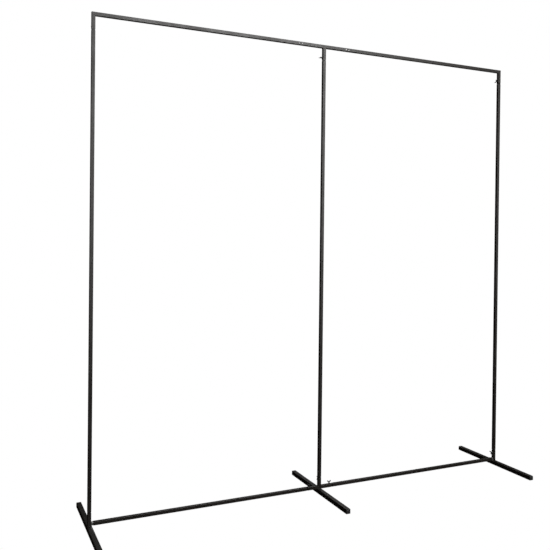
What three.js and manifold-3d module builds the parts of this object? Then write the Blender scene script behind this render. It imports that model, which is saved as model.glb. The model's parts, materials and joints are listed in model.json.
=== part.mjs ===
// A background support for a photo studio: a free-standing rectangular frame of black square tube.
// Three posts stand on cross feet and carry one top rail, and a bottom rail ties the feet together.
// Every joint between tubes is a loose steel spigot, and wing screws clamp the spigots in the fittings.
//
// Units are millimetres. +X runs along the frame, +Y points to its back, and +Z is up.
// The origin is on the floor under the centre post.

import * as THREE from "three";
import { mergeVertices } from "three/addons/utils/BufferGeometryUtils.js";
import Module from "manifold-3d";

const wasm = await Module();
wasm.setup();

// ---- Overall size ----
const HEIGHT = 2800; // from the floor to the top of the top rail
const POST_SPACING = 1411; // between the axes of neighbouring posts
const POST_JOINT_HEIGHT = 1440; // where the two sections of a post meet
const FOOT_LENGTH = 726; // from cap to cap

// ---- Tube stock ----
const TUBE = 20;
const TUBE_WALL = 1.2;
const TUBE_CORNER = 2;
const FOOT_TUBE = 28;
const FOOT_WALL = 1.5;
const FOOT_CORNER = 2.5;
const SPIGOT = 17;
const SPIGOT_WALL = 1.5;
const SPIGOT_CORNER = 1.5;
const CORNER_SEGMENTS = 1; // each round corner of a tube has twice as many flats

// ---- Joints ----
const GAP = 0.3; // running gap between separate pieces
const SEAT_GAP = 5; // left between a tube's end and the fitting that holds it
const SPIGOT_REACH = 60; // of a spigot, on each side of its joint
const BARE_SPIGOT = 12; // of a side base's spigot, seen between the base and the rail
const WELD_LAP = 0.6; // how deep a welded tube's end runs into its neighbour's wall
const SCREW_INSET = 14; // from a socket's mouth to the axis of its wing screw

// ---- Fittings ----
const BASE_SOCKET = 70; // height of a base's socket above its foot
const BASE_ARM = 85; // from the centre post's axis to the end of its base's arms
const TOP_STUB = 73; // from the top rail's underside to a stub's mouth
const TEE_ARM = 165; // from the centre post's axis to the ends of the tee
const CORNER_LEG = 93; // from a corner's outer edge to the end of either leg

// ---- Foot caps ----
const CAP_CROWN = 8;
const CAP_NARROWING = 0.8; // the crown follows this part of a quarter ellipse
const CAP_STEPS = 4;
const CAP_PLUG = 18;

// ---- Wing screws, of size M6 ----
const STUD_DIAMETER = 6;
const BORE_DIAMETER = STUD_DIAMETER + 2 * GAP;
const NUT_FLATS = 10;
const NUT_HEIGHT = 5;
const HUB_BOTTOM = 8;
const HUB_TOP = 14;
const HUB_BOTTOM_RADIUS = 4.8;
const HUB_TOP_RADIUS = 3.9;
const STUD_TOP = 12;
const WING_THICKNESS = 2.4;
const WING_SPAN = 25;
const WING_TOP = 21.5;
const ROUND_SEGMENTS = 16;

// ---- Snap buttons ----
const BUTTON_OFFSET = 12; // above the joint between the post's sections
const BUTTON_DIAMETER = 7.4;
const BUTTON_HOLE = 8;
const BUTTON_STANDS = 2.6; // proud of the post's face
const LEAF_WIDTH = 9;
const LEAF_LENGTH = 30;
const LEAF_THICKNESS = 1;

// ---- Heights that follow ----
const RAIL_Z = HEIGHT - TUBE / 2;
const BASE_Z = FOOT_TUBE + GAP;
const SOCKET_MOUTH_Z = BASE_Z + BASE_SOCKET;
const STUB_MOUTH_Z = HEIGHT - TUBE - TOP_STUB;
const POST_TOP_Z = STUB_MOUTH_Z - SEAT_GAP;
const POST_BOTTOM_Z = SOCKET_MOUTH_Z + SEAT_GAP;
const BOTTOM_RAIL_Z = BASE_Z + TUBE / 2;

const LEFT = -1;
const CENTRE = 0;
const RIGHT = 1;
const SIDE_NAMES = { [LEFT]: "left", [CENTRE]: "centre", [RIGHT]: "right" };
const ALL_SIDES = [LEFT, CENTRE, RIGHT];
const OUTER_SIDES = [LEFT, RIGHT];

const blackCoat = () => new THREE.MeshStandardMaterial({ color: 0x1c1c1e, roughness: 0.5, metalness: 0.1 });
const zincSteel = () => new THREE.MeshStandardMaterial({ color: 0xa9abac, roughness: 0.35, metalness: 0.9 });
const blackPlastic = () => new THREE.MeshStandardMaterial({ color: 0x141415, roughness: 0.6, metalness: 0 });

// ---- Shapes ----

// A square with round corners, as the outline of a tube, a spigot or a cap.
function squareOutline(size, corner) {
  const half = size / 2;
  const inner = half - corner;
  const outline = new THREE.Shape();
  outline.moveTo(inner, -half);
  outline.absarc(inner, -inner, corner, -Math.PI / 2, 0, false);
  outline.absarc(inner, inner, corner, 0, Math.PI / 2, false);
  outline.absarc(-inner, inner, corner, Math.PI / 2, Math.PI, false);
  outline.absarc(-inner, -inner, corner, Math.PI, 1.5 * Math.PI, false);
  return outline;
}

// A square tube that stands on the XY plane and runs along +Z.
function tube({ size, wall, corner }, length, steps = 1) {
  const section = squareOutline(size, corner);
  section.holes.push(squareOutline(size - 2 * wall, Math.max(corner - wall, wall / 2)));
  return new THREE.ExtrudeGeometry(section, {
    depth: length, steps, bevelEnabled: false, curveSegments: CORNER_SEGMENTS,
  });
}

const FRAME_STOCK = { size: TUBE, wall: TUBE_WALL, corner: TUBE_CORNER };
const FOOT_STOCK = { size: FOOT_TUBE, wall: FOOT_WALL, corner: FOOT_CORNER };
const SPIGOT_STOCK = { size: SPIGOT, wall: SPIGOT_WALL, corner: SPIGOT_CORNER };

// Turns a shape that runs along +Z so that it runs along the given direction.
function turned(geometry, direction) {
  const turn = new THREE.Quaternion().setFromUnitVectors(new THREE.Vector3(0, 0, 1), direction);
  return geometry.applyQuaternion(turn);
}

const along = (x, y, z) => new THREE.Vector3(x, y, z);

// ---- Joining and cutting ----

function solid(geometry) {
  const bare = geometry.clone();
  bare.deleteAttribute("normal");
  bare.deleteAttribute("uv");
  const merged = mergeVertices(bare);
  return new wasm.Manifold(new wasm.Mesh({
    numProp: 3,
    vertProperties: new Float32Array(merged.attributes.position.array),
    triVerts: new Uint32Array(merged.index.array),
  }));
}

function geometryOf(body) {
  const mesh = body.getMesh();
  const geometry = new THREE.BufferGeometry();
  geometry.setAttribute("position", new THREE.BufferAttribute(mesh.vertProperties, mesh.numProp));
  geometry.setIndex(new THREE.BufferAttribute(mesh.triVerts, 1));
  geometry.computeVertexNormals();
  return geometry;
}

function rod(diameter, from, to, segments = ROUND_SEGMENTS) {
  const cylinder = new THREE.CylinderGeometry(diameter / 2, diameter / 2, to - from, segments);
  return cylinder.rotateX(Math.PI / 2).translate(0, 0, (from + to) / 2);
}

// Welds a hexagon nut on a tube's face and drills it through into the tube.
function withWeldNut(body, face, outward) {
  const acrossCorners = NUT_FLATS / Math.cos(Math.PI / 6);
  const nut = turned(rod(acrossCorners, -WELD_LAP, NUT_HEIGHT, 6), outward).translate(...face);
  const bore = turned(rod(BORE_DIAMETER, -2 * TUBE_WALL, NUT_HEIGHT + 1), outward).translate(...face);
  return body.add(solid(nut)).subtract(solid(bore));
}

// ---- Placing ----

const model = new THREE.Group();

function place(name, geometry, material, x, y, z) {
  const mesh = new THREE.Mesh(geometry, material);
  mesh.name = name;
  mesh.position.set(x, y, z);
  model.add(mesh);
  return mesh;
}

// ---- Feet ----

// A plastic cap: a crowned head that covers the tube's end, and a plug that fills it.
function footCap() {
  const crown = new THREE.ExtrudeGeometry(squareOutline(FOOT_TUBE, FOOT_CORNER), {
    depth: CAP_CROWN, steps: CAP_STEPS, bevelEnabled: false, curveSegments: CORNER_SEGMENTS,
  });
  const points = crown.attributes.position;
  for (let i = 0; i < points.count; i += 1) {
    const rise = (CAP_NARROWING * points.getZ(i)) / CAP_CROWN;
    const narrowing = Math.sqrt(1 - rise * rise);
    points.setXY(i, points.getX(i) * narrowing, points.getY(i) * narrowing);
  }
  const plugSize = FOOT_TUBE - 2 * FOOT_WALL - 2 * GAP;
  const plug = new THREE.ExtrudeGeometry(squareOutline(plugSize, FOOT_WALL), {
    depth: CAP_PLUG + WELD_LAP, bevelEnabled: false, curveSegments: CORNER_SEGMENTS,
  });
  plug.translate(0, 0, -CAP_PLUG);
  return geometryOf(solid(crown).add(solid(plug)));
}

function addFoot(side) {
  const name = SIDE_NAMES[side];
  const x = side * POST_SPACING;
  const barEnd = FOOT_LENGTH / 2 - CAP_CROWN - GAP;
  const bar = turned(tube(FOOT_STOCK, 2 * barEnd), along(0, 1, 0));
  place(`foot_bar_${name}`, bar, blackCoat(), x, -barEnd, FOOT_TUBE / 2);
  for (const [end, way] of [["front", -1], ["rear", 1]]) {
    const cap = turned(footCap(), along(0, way, 0));
    place(`foot_cap_${name}_${end}`, cap, blackPlastic(), x, way * (barEnd + GAP), FOOT_TUBE / 2);
  }
}

// ---- Bases, welded on the feet ----

// The centre base has an upright socket and an arm to each side, all of frame tube.
function centreBase(screwFace) {
  let body = solid(tube(FRAME_STOCK, BASE_SOCKET));
  const armStart = TUBE / 2 - WELD_LAP;
  for (const side of OUTER_SIDES) {
    const arm = turned(tube(FRAME_STOCK, BASE_ARM - armStart), along(side, 0, 0));
    arm.translate(side * armStart, 0, TUBE / 2);
    body = body.add(solid(arm));
    body = withWeldNut(body, [side * (BASE_ARM - SCREW_INSET), 0, TUBE], along(0, 0, 1));
  }
  return geometryOf(withSocketNut(body, screwFace));
}

// A side base has a socket, and a bare spigot that the bottom rail is pushed on to.
function sideBase(side, screwFace) {
  const spigotStart = TUBE / 2 - WELD_LAP;
  const spigotLength = WELD_LAP + BARE_SPIGOT + SPIGOT_REACH;
  const spigot = turned(tube(SPIGOT_STOCK, spigotLength), along(-side, 0, 0));
  spigot.translate(-side * spigotStart, 0, TUBE / 2);
  const body = solid(tube(FRAME_STOCK, BASE_SOCKET)).add(solid(spigot));
  return geometryOf(withSocketNut(body, screwFace));
}

function withSocketNut(body, outward) {
  const height = BASE_SOCKET - SCREW_INSET;
  return withWeldNut(body, [outward.x * TUBE / 2, outward.y * TUBE / 2, height], outward);
}

// ---- Posts ----

// A post's upper section, with the hole that its snap button stands in.
function upperPost(length) {
  const hole = turned(rod(BUTTON_HOLE, 0, TUBE), along(0, -1, 0));
  hole.translate(0, 0, BUTTON_OFFSET - GAP);
  return geometryOf(solid(tube(FRAME_STOCK, length)).subtract(solid(hole)));
}

function jointSpigot() {
  return tube(SPIGOT_STOCK, 2 * SPIGOT_REACH).translate(0, 0, -SPIGOT_REACH);
}

function buttonSpigot() {
  const hole = turned(rod(BUTTON_HOLE, 0, TUBE), along(0, -1, 0)).translate(0, 0, BUTTON_OFFSET);
  return geometryOf(solid(jointSpigot()).subtract(solid(hole)));
}

// A round-headed button on the leaf of the spring that pushes it out of the spigot.
function snapButton() {
  const leafTop = SPIGOT / 2 - SPIGOT_WALL - GAP;
  const radius = BUTTON_DIAMETER / 2;
  const head = TUBE / 2 + BUTTON_STANDS;
  const profile = new THREE.Path();
  profile.moveTo(0, leafTop - LEAF_THICKNESS / 2);
  profile.lineTo(radius, leafTop - LEAF_THICKNESS / 2);
  profile.lineTo(radius, head - radius / 2);
  profile.quadraticCurveTo(radius, head, 0, head);
  const dome = new THREE.LatheGeometry(profile.getPoints(3), ROUND_SEGMENTS).rotateX(Math.PI);
  const leaf = new THREE.BoxGeometry(LEAF_WIDTH, LEAF_THICKNESS, LEAF_LENGTH);
  leaf.translate(0, -leafTop + LEAF_THICKNESS / 2, LEAF_WIDTH / 2 - LEAF_LENGTH / 2);
  return geometryOf(solid(dome).add(solid(leaf)));
}

function addPost(side) {
  const name = SIDE_NAMES[side];
  const x = side * POST_SPACING;
  const lowerLength = POST_JOINT_HEIGHT - POST_BOTTOM_Z;
  const upperLength = POST_TOP_Z - POST_JOINT_HEIGHT - GAP;
  place(`lower_post_${name}`, tube(FRAME_STOCK, lowerLength), blackCoat(), x, 0, POST_BOTTOM_Z);
  place(`upper_post_${name}`, upperPost(upperLength), blackCoat(), x, 0, POST_JOINT_HEIGHT + GAP);
  place(`post_foot_spigot_${name}`, jointSpigot(), zincSteel(), x, 0, SOCKET_MOUTH_Z);
  place(`post_middle_spigot_${name}`, buttonSpigot(), zincSteel(), x, 0, POST_JOINT_HEIGHT);
  place(`post_head_spigot_${name}`, jointSpigot(), zincSteel(), x, 0, POST_TOP_Z);
  place(`snap_button_${name}`, snapButton(), zincSteel(), x, 0, POST_JOINT_HEIGHT + BUTTON_OFFSET);
}

// ---- Top fittings ----

// The tee carries the rails on both sides and stands on the centre post.
function tee(screwFace) {
  const arms = turned(tube(FRAME_STOCK, 2 * TEE_ARM), along(1, 0, 0)).translate(-TEE_ARM, 0, 0);
  const stub = tube(FRAME_STOCK, TOP_STUB + WELD_LAP).translate(0, 0, -TUBE / 2 - TOP_STUB);
  return geometryOf(withStubNut(solid(arms).add(solid(stub)), screwFace));
}

// A corner is one tube folded square at a mitre, half way along its length.
function corner(side, screwFace) {
  const leg = CORNER_LEG - TUBE / 2;
  const folded = tube(FRAME_STOCK, 2 * leg, 2);
  const points = folded.attributes.position;
  for (let i = 0; i < points.count; i += 1) {
    const across = points.getX(i);
    const run = points.getZ(i) - leg;
    if (run < 0) points.setZ(i, run);
    if (run === 0) points.setZ(i, across);
    if (run > 0) points.setXYZ(i, -run, points.getY(i), across);
  }
  if (side === LEFT) folded.rotateZ(Math.PI);
  return geometryOf(withStubNut(solid(folded), screwFace));
}

function withStubNut(body, outward) {
  const height = -TUBE / 2 - TOP_STUB + SCREW_INSET;
  return withWeldNut(body, [outward.x * TUBE / 2, outward.y * TUBE / 2, height], outward);
}

// ---- Rails ----

function addTopRail(side) {
  const name = SIDE_NAMES[side];
  const cornerEnd = POST_SPACING + TUBE / 2 - CORNER_LEG;
  const length = cornerEnd - TEE_ARM - 2 * GAP;
  const rail = turned(tube(FRAME_STOCK, length), along(side, 0, 0));
  place(`top_rail_${name}`, rail, blackCoat(), side * (TEE_ARM + GAP), 0, RAIL_Z);
  for (const [end, x] of [["inner", TEE_ARM], ["outer", cornerEnd]]) {
    const spigot = turned(jointSpigot(), along(side, 0, 0));
    place(`top_rail_spigot_${name}_${end}`, spigot, zincSteel(), side * x, 0, RAIL_Z);
  }
}

function addBottomRail(side) {
  const name = SIDE_NAMES[side];
  const start = BASE_ARM + SEAT_GAP;
  const end = POST_SPACING - TUBE / 2 - BARE_SPIGOT;
  const rail = turned(tube(FRAME_STOCK, end - start), along(side, 0, 0));
  place(`bottom_rail_${name}`, rail, blackCoat(), side * start, 0, BOTTOM_RAIL_Z);
  const spigot = turned(jointSpigot(), along(side, 0, 0));
  place(`bottom_rail_spigot_${name}`, spigot, zincSteel(), side * BASE_ARM, 0, BOTTOM_RAIL_Z);
}

// ---- Wing screws ----

// One wing, from the hub out to its rounded tip. The other is its half turn.
function wing() {
  const tip = WING_SPAN / 2;
  const outline = new THREE.Shape();
  outline.moveTo(0, HUB_BOTTOM + 1);
  outline.lineTo(HUB_BOTTOM_RADIUS, HUB_BOTTOM + 1);
  outline.quadraticCurveTo(tip - 2, HUB_BOTTOM + 3, tip, WING_TOP - 4);
  outline.quadraticCurveTo(tip + 0.4, WING_TOP, tip - 3, WING_TOP);
  outline.quadraticCurveTo(tip - 6, WING_TOP, tip - 7.5, WING_TOP - 4);
  outline.quadraticCurveTo(HUB_TOP_RADIUS, HUB_TOP, 0, HUB_TOP - 1);
  const blade = new THREE.ExtrudeGeometry(outline, {
    depth: WING_THICKNESS, bevelEnabled: false, curveSegments: 4,
  });
  return blade.translate(0, 0, -WING_THICKNESS / 2).rotateX(Math.PI / 2);
}

function wingHead() {
  const profile = [
    new THREE.Vector2(0, HUB_BOTTOM),
    new THREE.Vector2(HUB_BOTTOM_RADIUS, HUB_BOTTOM),
    new THREE.Vector2(HUB_TOP_RADIUS, HUB_TOP),
    new THREE.Vector2(0, HUB_TOP),
  ];
  const hub = new THREE.LatheGeometry(profile, ROUND_SEGMENTS).rotateX(Math.PI / 2);
  const bore = rod(BORE_DIAMETER, HUB_BOTTOM - 1, STUD_TOP + GAP);
  const wings = solid(wing()).add(solid(wing().rotateZ(Math.PI)));
  return geometryOf(solid(hub).add(wings).subtract(solid(bore)));
}

// Both pieces of a wing screw stand on a tube's face and share its axis.
function addWingScrew(name, x, y, z, outward, wingsAlong) {
  const screw = new THREE.Group();
  const third = new THREE.Vector3().crossVectors(outward, wingsAlong);
  screw.setRotationFromMatrix(new THREE.Matrix4().makeBasis(wingsAlong, third, outward));
  screw.position.set(x, y, z);
  const stud = new THREE.Mesh(rod(STUD_DIAMETER, -TUBE_WALL, STUD_TOP), zincSteel());
  stud.name = `wing_stud_${name}`;
  const head = new THREE.Mesh(wingHead(), blackCoat());
  head.name = `wing_head_${name}`;
  screw.add(stud, head);
  model.add(screw);
}

// ---- The faces that hold wing screws, and how their wings stand when tight ----

const BACK = along(0, 1, 0);
const LEFTWARD = along(-1, 0, 0);
const UP = along(0, 0, 1);
const SCREW_FACES = { [LEFT]: BACK, [CENTRE]: BACK, [RIGHT]: LEFTWARD };
const STUB_FACES = { [LEFT]: BACK, [CENTRE]: LEFTWARD, [RIGHT]: LEFTWARD };
const BASE_WINGS = { [LEFT]: along(0.6, 0, 0.8), [CENTRE]: along(0, 0, 1), [RIGHT]: along(0, 0.6, 0.8) };
const STUB_WINGS = { [LEFT]: along(0.6, 0, -0.8), [CENTRE]: along(0, 1, 0), [RIGHT]: along(0, 0.6, -0.8) };
const STUB_NAMES = { [LEFT]: "corner_left", [CENTRE]: "tee", [RIGHT]: "corner_right" };

function addFaceScrew(name, side, z, outward, wingsAlong) {
  const x = side * POST_SPACING + (outward.x * TUBE) / 2;
  addWingScrew(name, x, (outward.y * TUBE) / 2, z, outward, wingsAlong);
}

for (const side of ALL_SIDES) {
  const name = SIDE_NAMES[side];
  const x = side * POST_SPACING;
  addFoot(side);
  const base = side === CENTRE ? centreBase(SCREW_FACES[side]) : sideBase(side, SCREW_FACES[side]);
  place(`base_fitting_${name}`, base, blackCoat(), x, 0, BASE_Z);
  addPost(side);
  const top = side === CENTRE ? tee(STUB_FACES[side]) : corner(side, STUB_FACES[side]);
  place(side === CENTRE ? "tee_fitting" : `corner_fitting_${name}`, top, blackCoat(), x, 0, RAIL_Z);
  const baseScrewZ = SOCKET_MOUTH_Z - SCREW_INSET;
  const stubScrewZ = STUB_MOUTH_Z + SCREW_INSET;
  addFaceScrew(`base_${name}`, side, baseScrewZ, SCREW_FACES[side], BASE_WINGS[side]);
  addFaceScrew(STUB_NAMES[side], side, stubScrewZ, STUB_FACES[side], STUB_WINGS[side]);
}

for (const side of OUTER_SIDES) {
  addTopRail(side);
  addBottomRail(side);
  const armScrewX = side * (BASE_ARM - SCREW_INSET);
  addWingScrew(`arm_${SIDE_NAMES[side]}`, armScrewX, 0, BASE_Z + TUBE, UP, along(1, 0, 0));
}

export default model;
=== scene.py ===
# %% [markdown]
# # A background support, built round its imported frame
#
# The real object is a free-standing frame for hanging studio backgrounds. Black square steel tube is
# pushed together on loose inner tubes, called spigots, and wing screws clamp the spigots. Three posts
# stand on cross feet, one rail runs along the top and another ties the feet together.
#
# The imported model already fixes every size, place and joint. Each piece here replaces one plain packed
# node and adds what a maker sees up close: rounded tube, weld beads, chamfered nuts, real thread, cast
# wings, rivets and moulded caps. Pieces are modelled in millimetres, where booleans and remeshing work
# on comfortable numbers, and are brought to metres once, at the end of each piece.

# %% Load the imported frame
import json
import math

import bmesh
import bpy
import numpy as np
from mathutils import Matrix, Vector

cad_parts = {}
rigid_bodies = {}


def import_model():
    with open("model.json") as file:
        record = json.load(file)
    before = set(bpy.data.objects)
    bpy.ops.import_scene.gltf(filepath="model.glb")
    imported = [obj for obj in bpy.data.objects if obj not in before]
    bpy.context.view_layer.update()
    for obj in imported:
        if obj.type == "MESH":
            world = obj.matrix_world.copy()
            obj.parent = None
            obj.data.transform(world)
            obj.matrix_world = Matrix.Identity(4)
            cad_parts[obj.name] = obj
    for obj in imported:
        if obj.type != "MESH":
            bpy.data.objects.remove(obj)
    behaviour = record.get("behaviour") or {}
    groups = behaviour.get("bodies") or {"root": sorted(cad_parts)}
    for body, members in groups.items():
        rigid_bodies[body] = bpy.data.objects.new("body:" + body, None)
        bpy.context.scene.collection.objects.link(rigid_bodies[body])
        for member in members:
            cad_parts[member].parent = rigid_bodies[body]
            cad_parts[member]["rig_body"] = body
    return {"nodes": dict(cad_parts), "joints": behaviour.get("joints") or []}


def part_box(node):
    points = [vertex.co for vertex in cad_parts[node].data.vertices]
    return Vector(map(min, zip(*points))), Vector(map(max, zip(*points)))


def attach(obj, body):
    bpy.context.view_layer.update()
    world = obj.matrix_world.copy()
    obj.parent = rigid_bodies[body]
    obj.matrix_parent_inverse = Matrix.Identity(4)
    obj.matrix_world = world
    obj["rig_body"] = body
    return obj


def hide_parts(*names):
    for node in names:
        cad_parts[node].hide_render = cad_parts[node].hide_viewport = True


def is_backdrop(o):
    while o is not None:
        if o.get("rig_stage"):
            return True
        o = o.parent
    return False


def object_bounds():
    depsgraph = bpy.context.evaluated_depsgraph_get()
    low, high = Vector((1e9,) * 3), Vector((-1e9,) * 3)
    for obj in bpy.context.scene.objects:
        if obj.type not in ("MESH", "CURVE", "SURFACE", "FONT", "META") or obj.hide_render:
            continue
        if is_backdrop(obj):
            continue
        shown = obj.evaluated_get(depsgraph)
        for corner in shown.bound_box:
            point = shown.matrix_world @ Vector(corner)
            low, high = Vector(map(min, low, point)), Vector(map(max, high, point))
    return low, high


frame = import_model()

CAD_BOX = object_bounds()
print("packed box in metres", [tuple(round(c, 4) for c in corner) for corner in CAD_BOX])

# %% [markdown]
# ## Sizes
#
# A good stand-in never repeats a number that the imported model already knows. The tube sizes, the posts'
# axes and the screws' places are all read from node boxes and from the joints. Only what a box can't
# tell, such as a wall or a corner radius, is named here as stock data.

# %% Sizes of the stock, in millimetres
MM = 0.001
SIDES = ("left", "centre", "right")
OUTER_SIDES = ("left", "right")


def box_mm(node):
    low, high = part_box(node)
    return low / MM, high / MM


def middle_mm(node):
    low, high = box_mm(node)
    return (low + high) / 2


def width_mm(node):
    low, high = box_mm(node)
    return high.x - low.x


def body_of_node(node):
    return frame["nodes"][node]["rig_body"]


TUBE = {"Size": width_mm("lower_post_left"), "Wall": 1.2, "Corner": 2.0}
FOOT_TUBE = {"Size": width_mm("foot_bar_left"), "Wall": 1.5, "Corner": 2.5}
SPIGOT = {"Size": width_mm("post_foot_spigot_left"), "Wall": 1.5, "Corner": 1.5}
JOIN_LAP = 0.6  # how far shapes that are joined reach into each other
print("frame tube", TUBE, "foot tube", FOOT_TUBE, "spigot", SPIGOT)

# %% Places of the wing screws, from their joints
X_AXIS = Vector((1, 0, 0))
Y_AXIS = Vector((0, 1, 0))
Z_AXIS = Vector((0, 0, 1))


def wing_direction(node, outward):
    """The way that a screw's wings point: the widest spread of its packed vertices across its axis."""
    points = np.array([v.co for v in frame["nodes"][node].data.vertices], float)
    points -= points.mean(0)
    axis = np.array(outward)
    points -= np.outer(points @ axis, axis)
    spreads, directions = np.linalg.eigh(points.T @ points)
    return Vector(directions[:, int(np.argmax(spreads))]).normalized()


def screw_frame(foot, outward, wings):
    """Local X along the wings and Z out of the face, with the origin on the face."""
    turn = Matrix((wings, outward.cross(wings), outward)).transposed().to_4x4()
    return Matrix.Translation(foot) @ turn


SCREWS = {}
for joint in frame["joints"]:
    if joint["name"].endswith("_screw_turn"):
        screw_name = joint["name"].removesuffix("_screw_turn")
        screw_axis = Vector(joint["axis"])
        screw_wings = wing_direction(f"wing_head_{screw_name}", screw_axis)
        SCREWS[screw_name] = screw_frame(Vector(joint["pos_m"]) / MM, screw_axis, screw_wings)
        print(screw_name, tuple(round(c, 1) for c in SCREWS[screw_name].translation))

# %% [markdown]
# ## Studio
#
# A thin black frame is drawn almost only by what it mirrors. The room is therefore dark to every ray but
# the camera's own, so that the tubes stay black, and large soft panels give the satin its sheen: the largest
# stands high in front and fades down the posts, and smaller ones light the right end, the top rail, the
# upper faces and the back. The floor and the room look white to the camera only, so they don't light the
# undersides of the tubes.

# %% Camera
EYE = Vector((-2.0519, -3.7673, 1.6000))
CAMERA_YAW = 0.43119
CAMERA_PITCH = -0.00902
CAMERA_ROLL = 0.01089
CAMERA_LENS = 44.804
CAMERA_SHIFT_X = -0.00091
CAMERA_SHIFT_Y = -0.05741

level_right = Vector((math.cos(CAMERA_YAW), -math.sin(CAMERA_YAW), 0))
forward = Vector((math.sin(CAMERA_YAW), math.cos(CAMERA_YAW), 0)) * math.cos(CAMERA_PITCH)
forward.z = math.sin(CAMERA_PITCH)
level_up = level_right.cross(forward)
camera_right = level_right * math.cos(CAMERA_ROLL) + level_up * math.sin(CAMERA_ROLL)
camera_up = level_up * math.cos(CAMERA_ROLL) - level_right * math.sin(CAMERA_ROLL)

camera_data = bpy.data.cameras.new("studio_camera")
camera_data.lens = CAMERA_LENS
camera_data.shift_x = CAMERA_SHIFT_X
camera_data.shift_y = CAMERA_SHIFT_Y
camera_data.clip_end = 200
camera = bpy.data.objects.new("studio_camera", camera_data)
bpy.context.scene.collection.objects.link(camera)
camera_turn = Matrix((camera_right, camera_up, -forward)).transposed()
camera.matrix_world = Matrix.Translation(EYE) @ camera_turn.to_4x4()
bpy.context.scene.camera = camera
print("camera stands", round(EYE.z, 3), "m above the floor")


# %% A helper for every node tree
def add_node(tree, kind, sockets=None, **settings):
    """Adds a node. A socket given another node's output is linked, and any other value is set."""
    node = tree.nodes.new(kind)
    for key, value in settings.items():
        setattr(node, key, value)
    for key, value in (sockets or {}).items():
        if isinstance(value, bpy.types.NodeSocket):
            tree.links.new(value, node.inputs[key])
        else:
            node.inputs[key].default_value = value
    return node


# %% Room and floor
ROOM_DARK = (0.0140, 0.0117, 0.0096, 1)
ROOM_WHITE = (1, 1, 1, 1)
FLOOR_HALF = 30
FLOOR_DROP = 0.0006

world = bpy.data.worlds.new("studio_room")
world.use_nodes = True
bpy.context.scene.world = world
room = world.node_tree
room.nodes.clear()
seen_by_camera = add_node(room, "ShaderNodeLightPath").outputs["Is Camera Ray"]
dark = add_node(room, "ShaderNodeBackground", {"Color": ROOM_DARK})
white = add_node(room, "ShaderNodeBackground", {"Color": ROOM_WHITE})
both = add_node(room, "ShaderNodeMixShader", {0: seen_by_camera, 1: dark.outputs[0], 2: white.outputs[0]})
add_node(room, "ShaderNodeOutputWorld", {"Surface": both.outputs[0]})
bpy.context.scene.view_settings.view_transform = "Standard"

floor_mesh = bpy.data.meshes.new("studio_floor")
corners = [(-1, -1), (1, -1), (1, 1), (-1, 1)]
floor_points = [(x * FLOOR_HALF, y * FLOOR_HALF, -FLOOR_DROP) for x, y in corners]
floor_mesh.from_pydata(floor_points, [], [(0, 1, 2, 3)])
floor = bpy.data.objects.new("studio_floor", floor_mesh)
bpy.context.scene.collection.objects.link(floor)
floor_paint = bpy.data.materials.new("white_studio_floor")
floor_paint.use_nodes = True
floor_tree = floor_paint.node_tree
floor_tree.nodes.clear()
floor_glow = add_node(floor_tree, "ShaderNodeEmission", {"Color": ROOM_WHITE, "Strength": 1.0})
add_node(floor_tree, "ShaderNodeOutputMaterial", {"Surface": floor_glow.outputs[0]})
floor_mesh.materials.append(floor_paint)
floor.visible_diffuse = False
floor.visible_glossy = False
floor.visible_shadow = False
floor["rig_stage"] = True
print("floor", 2 * FLOOR_HALF, "m across")


# %% Soft panels
def soft_panel(name, place, aim, width, height, power):
    """A rectangular lamp, sizes in metres and power in watts, turned to look at a point."""
    light = bpy.data.lights.new(name, "AREA")
    light.shape = "RECTANGLE"
    light.size = width
    light.size_y = height
    light.energy = power
    panel = bpy.data.objects.new(name, light)
    bpy.context.scene.collection.objects.link(panel)
    look = (Vector(aim) - Vector(place)).to_track_quat("-Z", "Y")
    panel.matrix_world = Matrix.Translation(place) @ look.to_matrix().to_4x4()


soft_panel("front_panel", (1.0, -4.8, 2.95), (1.0, 0.0, 2.95), width=5.0, height=3.5, power=165)
soft_panel("side_panel", (5.5, -4.8, 2.75), (5.5, 0.0, 2.75), width=4.0, height=3.6, power=34)
soft_panel("high_panel", (1.2, -4.5, 4.4), (-0.3, 0.0, 2.8), width=2.0, height=0.7, power=110)
soft_panel("overhead_panel", (-0.6, -0.6, 5.6), (0.0, 0.0, 1.4), width=3.0, height=2.0, power=8)
soft_panel("rear_panel", (2.5, 4.8, 4.8), (0.0, 0.0, 1.2), width=5.0, height=1.6, power=70)
print("five soft panels")


# %% [markdown]
# ## Finishes
#
# Five finishes cover the real frame: satin black powder coat, bright zinc plate, the same plate darkened as
# painted shade for the joint gaps where it shows, moulded cap plastic and the coated casting of the wing
# screws.
# never flat: it melts into a faint orange peel, picks up long rub marks where one tube slides past
# another, and burnishes on its corners. The patterns read Object coordinates in metres, so a grain is the
# same size on every piece. The corners come from a vertex attribute named edge, which each builder below
# writes, because only the mesh knows its corners.

# %% Small shader helpers
EDGE = "edge"


def new_material(name):
    material = bpy.data.materials.new(name)
    material.use_nodes = True
    tree = material.node_tree
    tree.nodes.clear()
    shader = add_node(tree, "ShaderNodeBsdfPrincipled")
    add_node(tree, "ShaderNodeOutputMaterial", {"Surface": shader.outputs[0]})
    return material, tree, shader


def object_coordinates(tree):
    return add_node(tree, "ShaderNodeTexCoord").outputs["Object"]


def stretched(tree, coordinates, run, along, across):
    """Coordinates that are fine across a tube and coarse along it."""
    scale = [along if axis == run else across for axis in "XYZ"]
    return add_node(tree, "ShaderNodeMapping", {"Vector": coordinates, "Scale": scale}).outputs[0]


def noise(tree, coordinates, scale, detail=2.0, roughness=0.5):
    sockets = {"Vector": coordinates, "Scale": scale, "Detail": detail, "Roughness": roughness}
    return add_node(tree, "ShaderNodeTexNoise", sockets).outputs[0]


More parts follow.
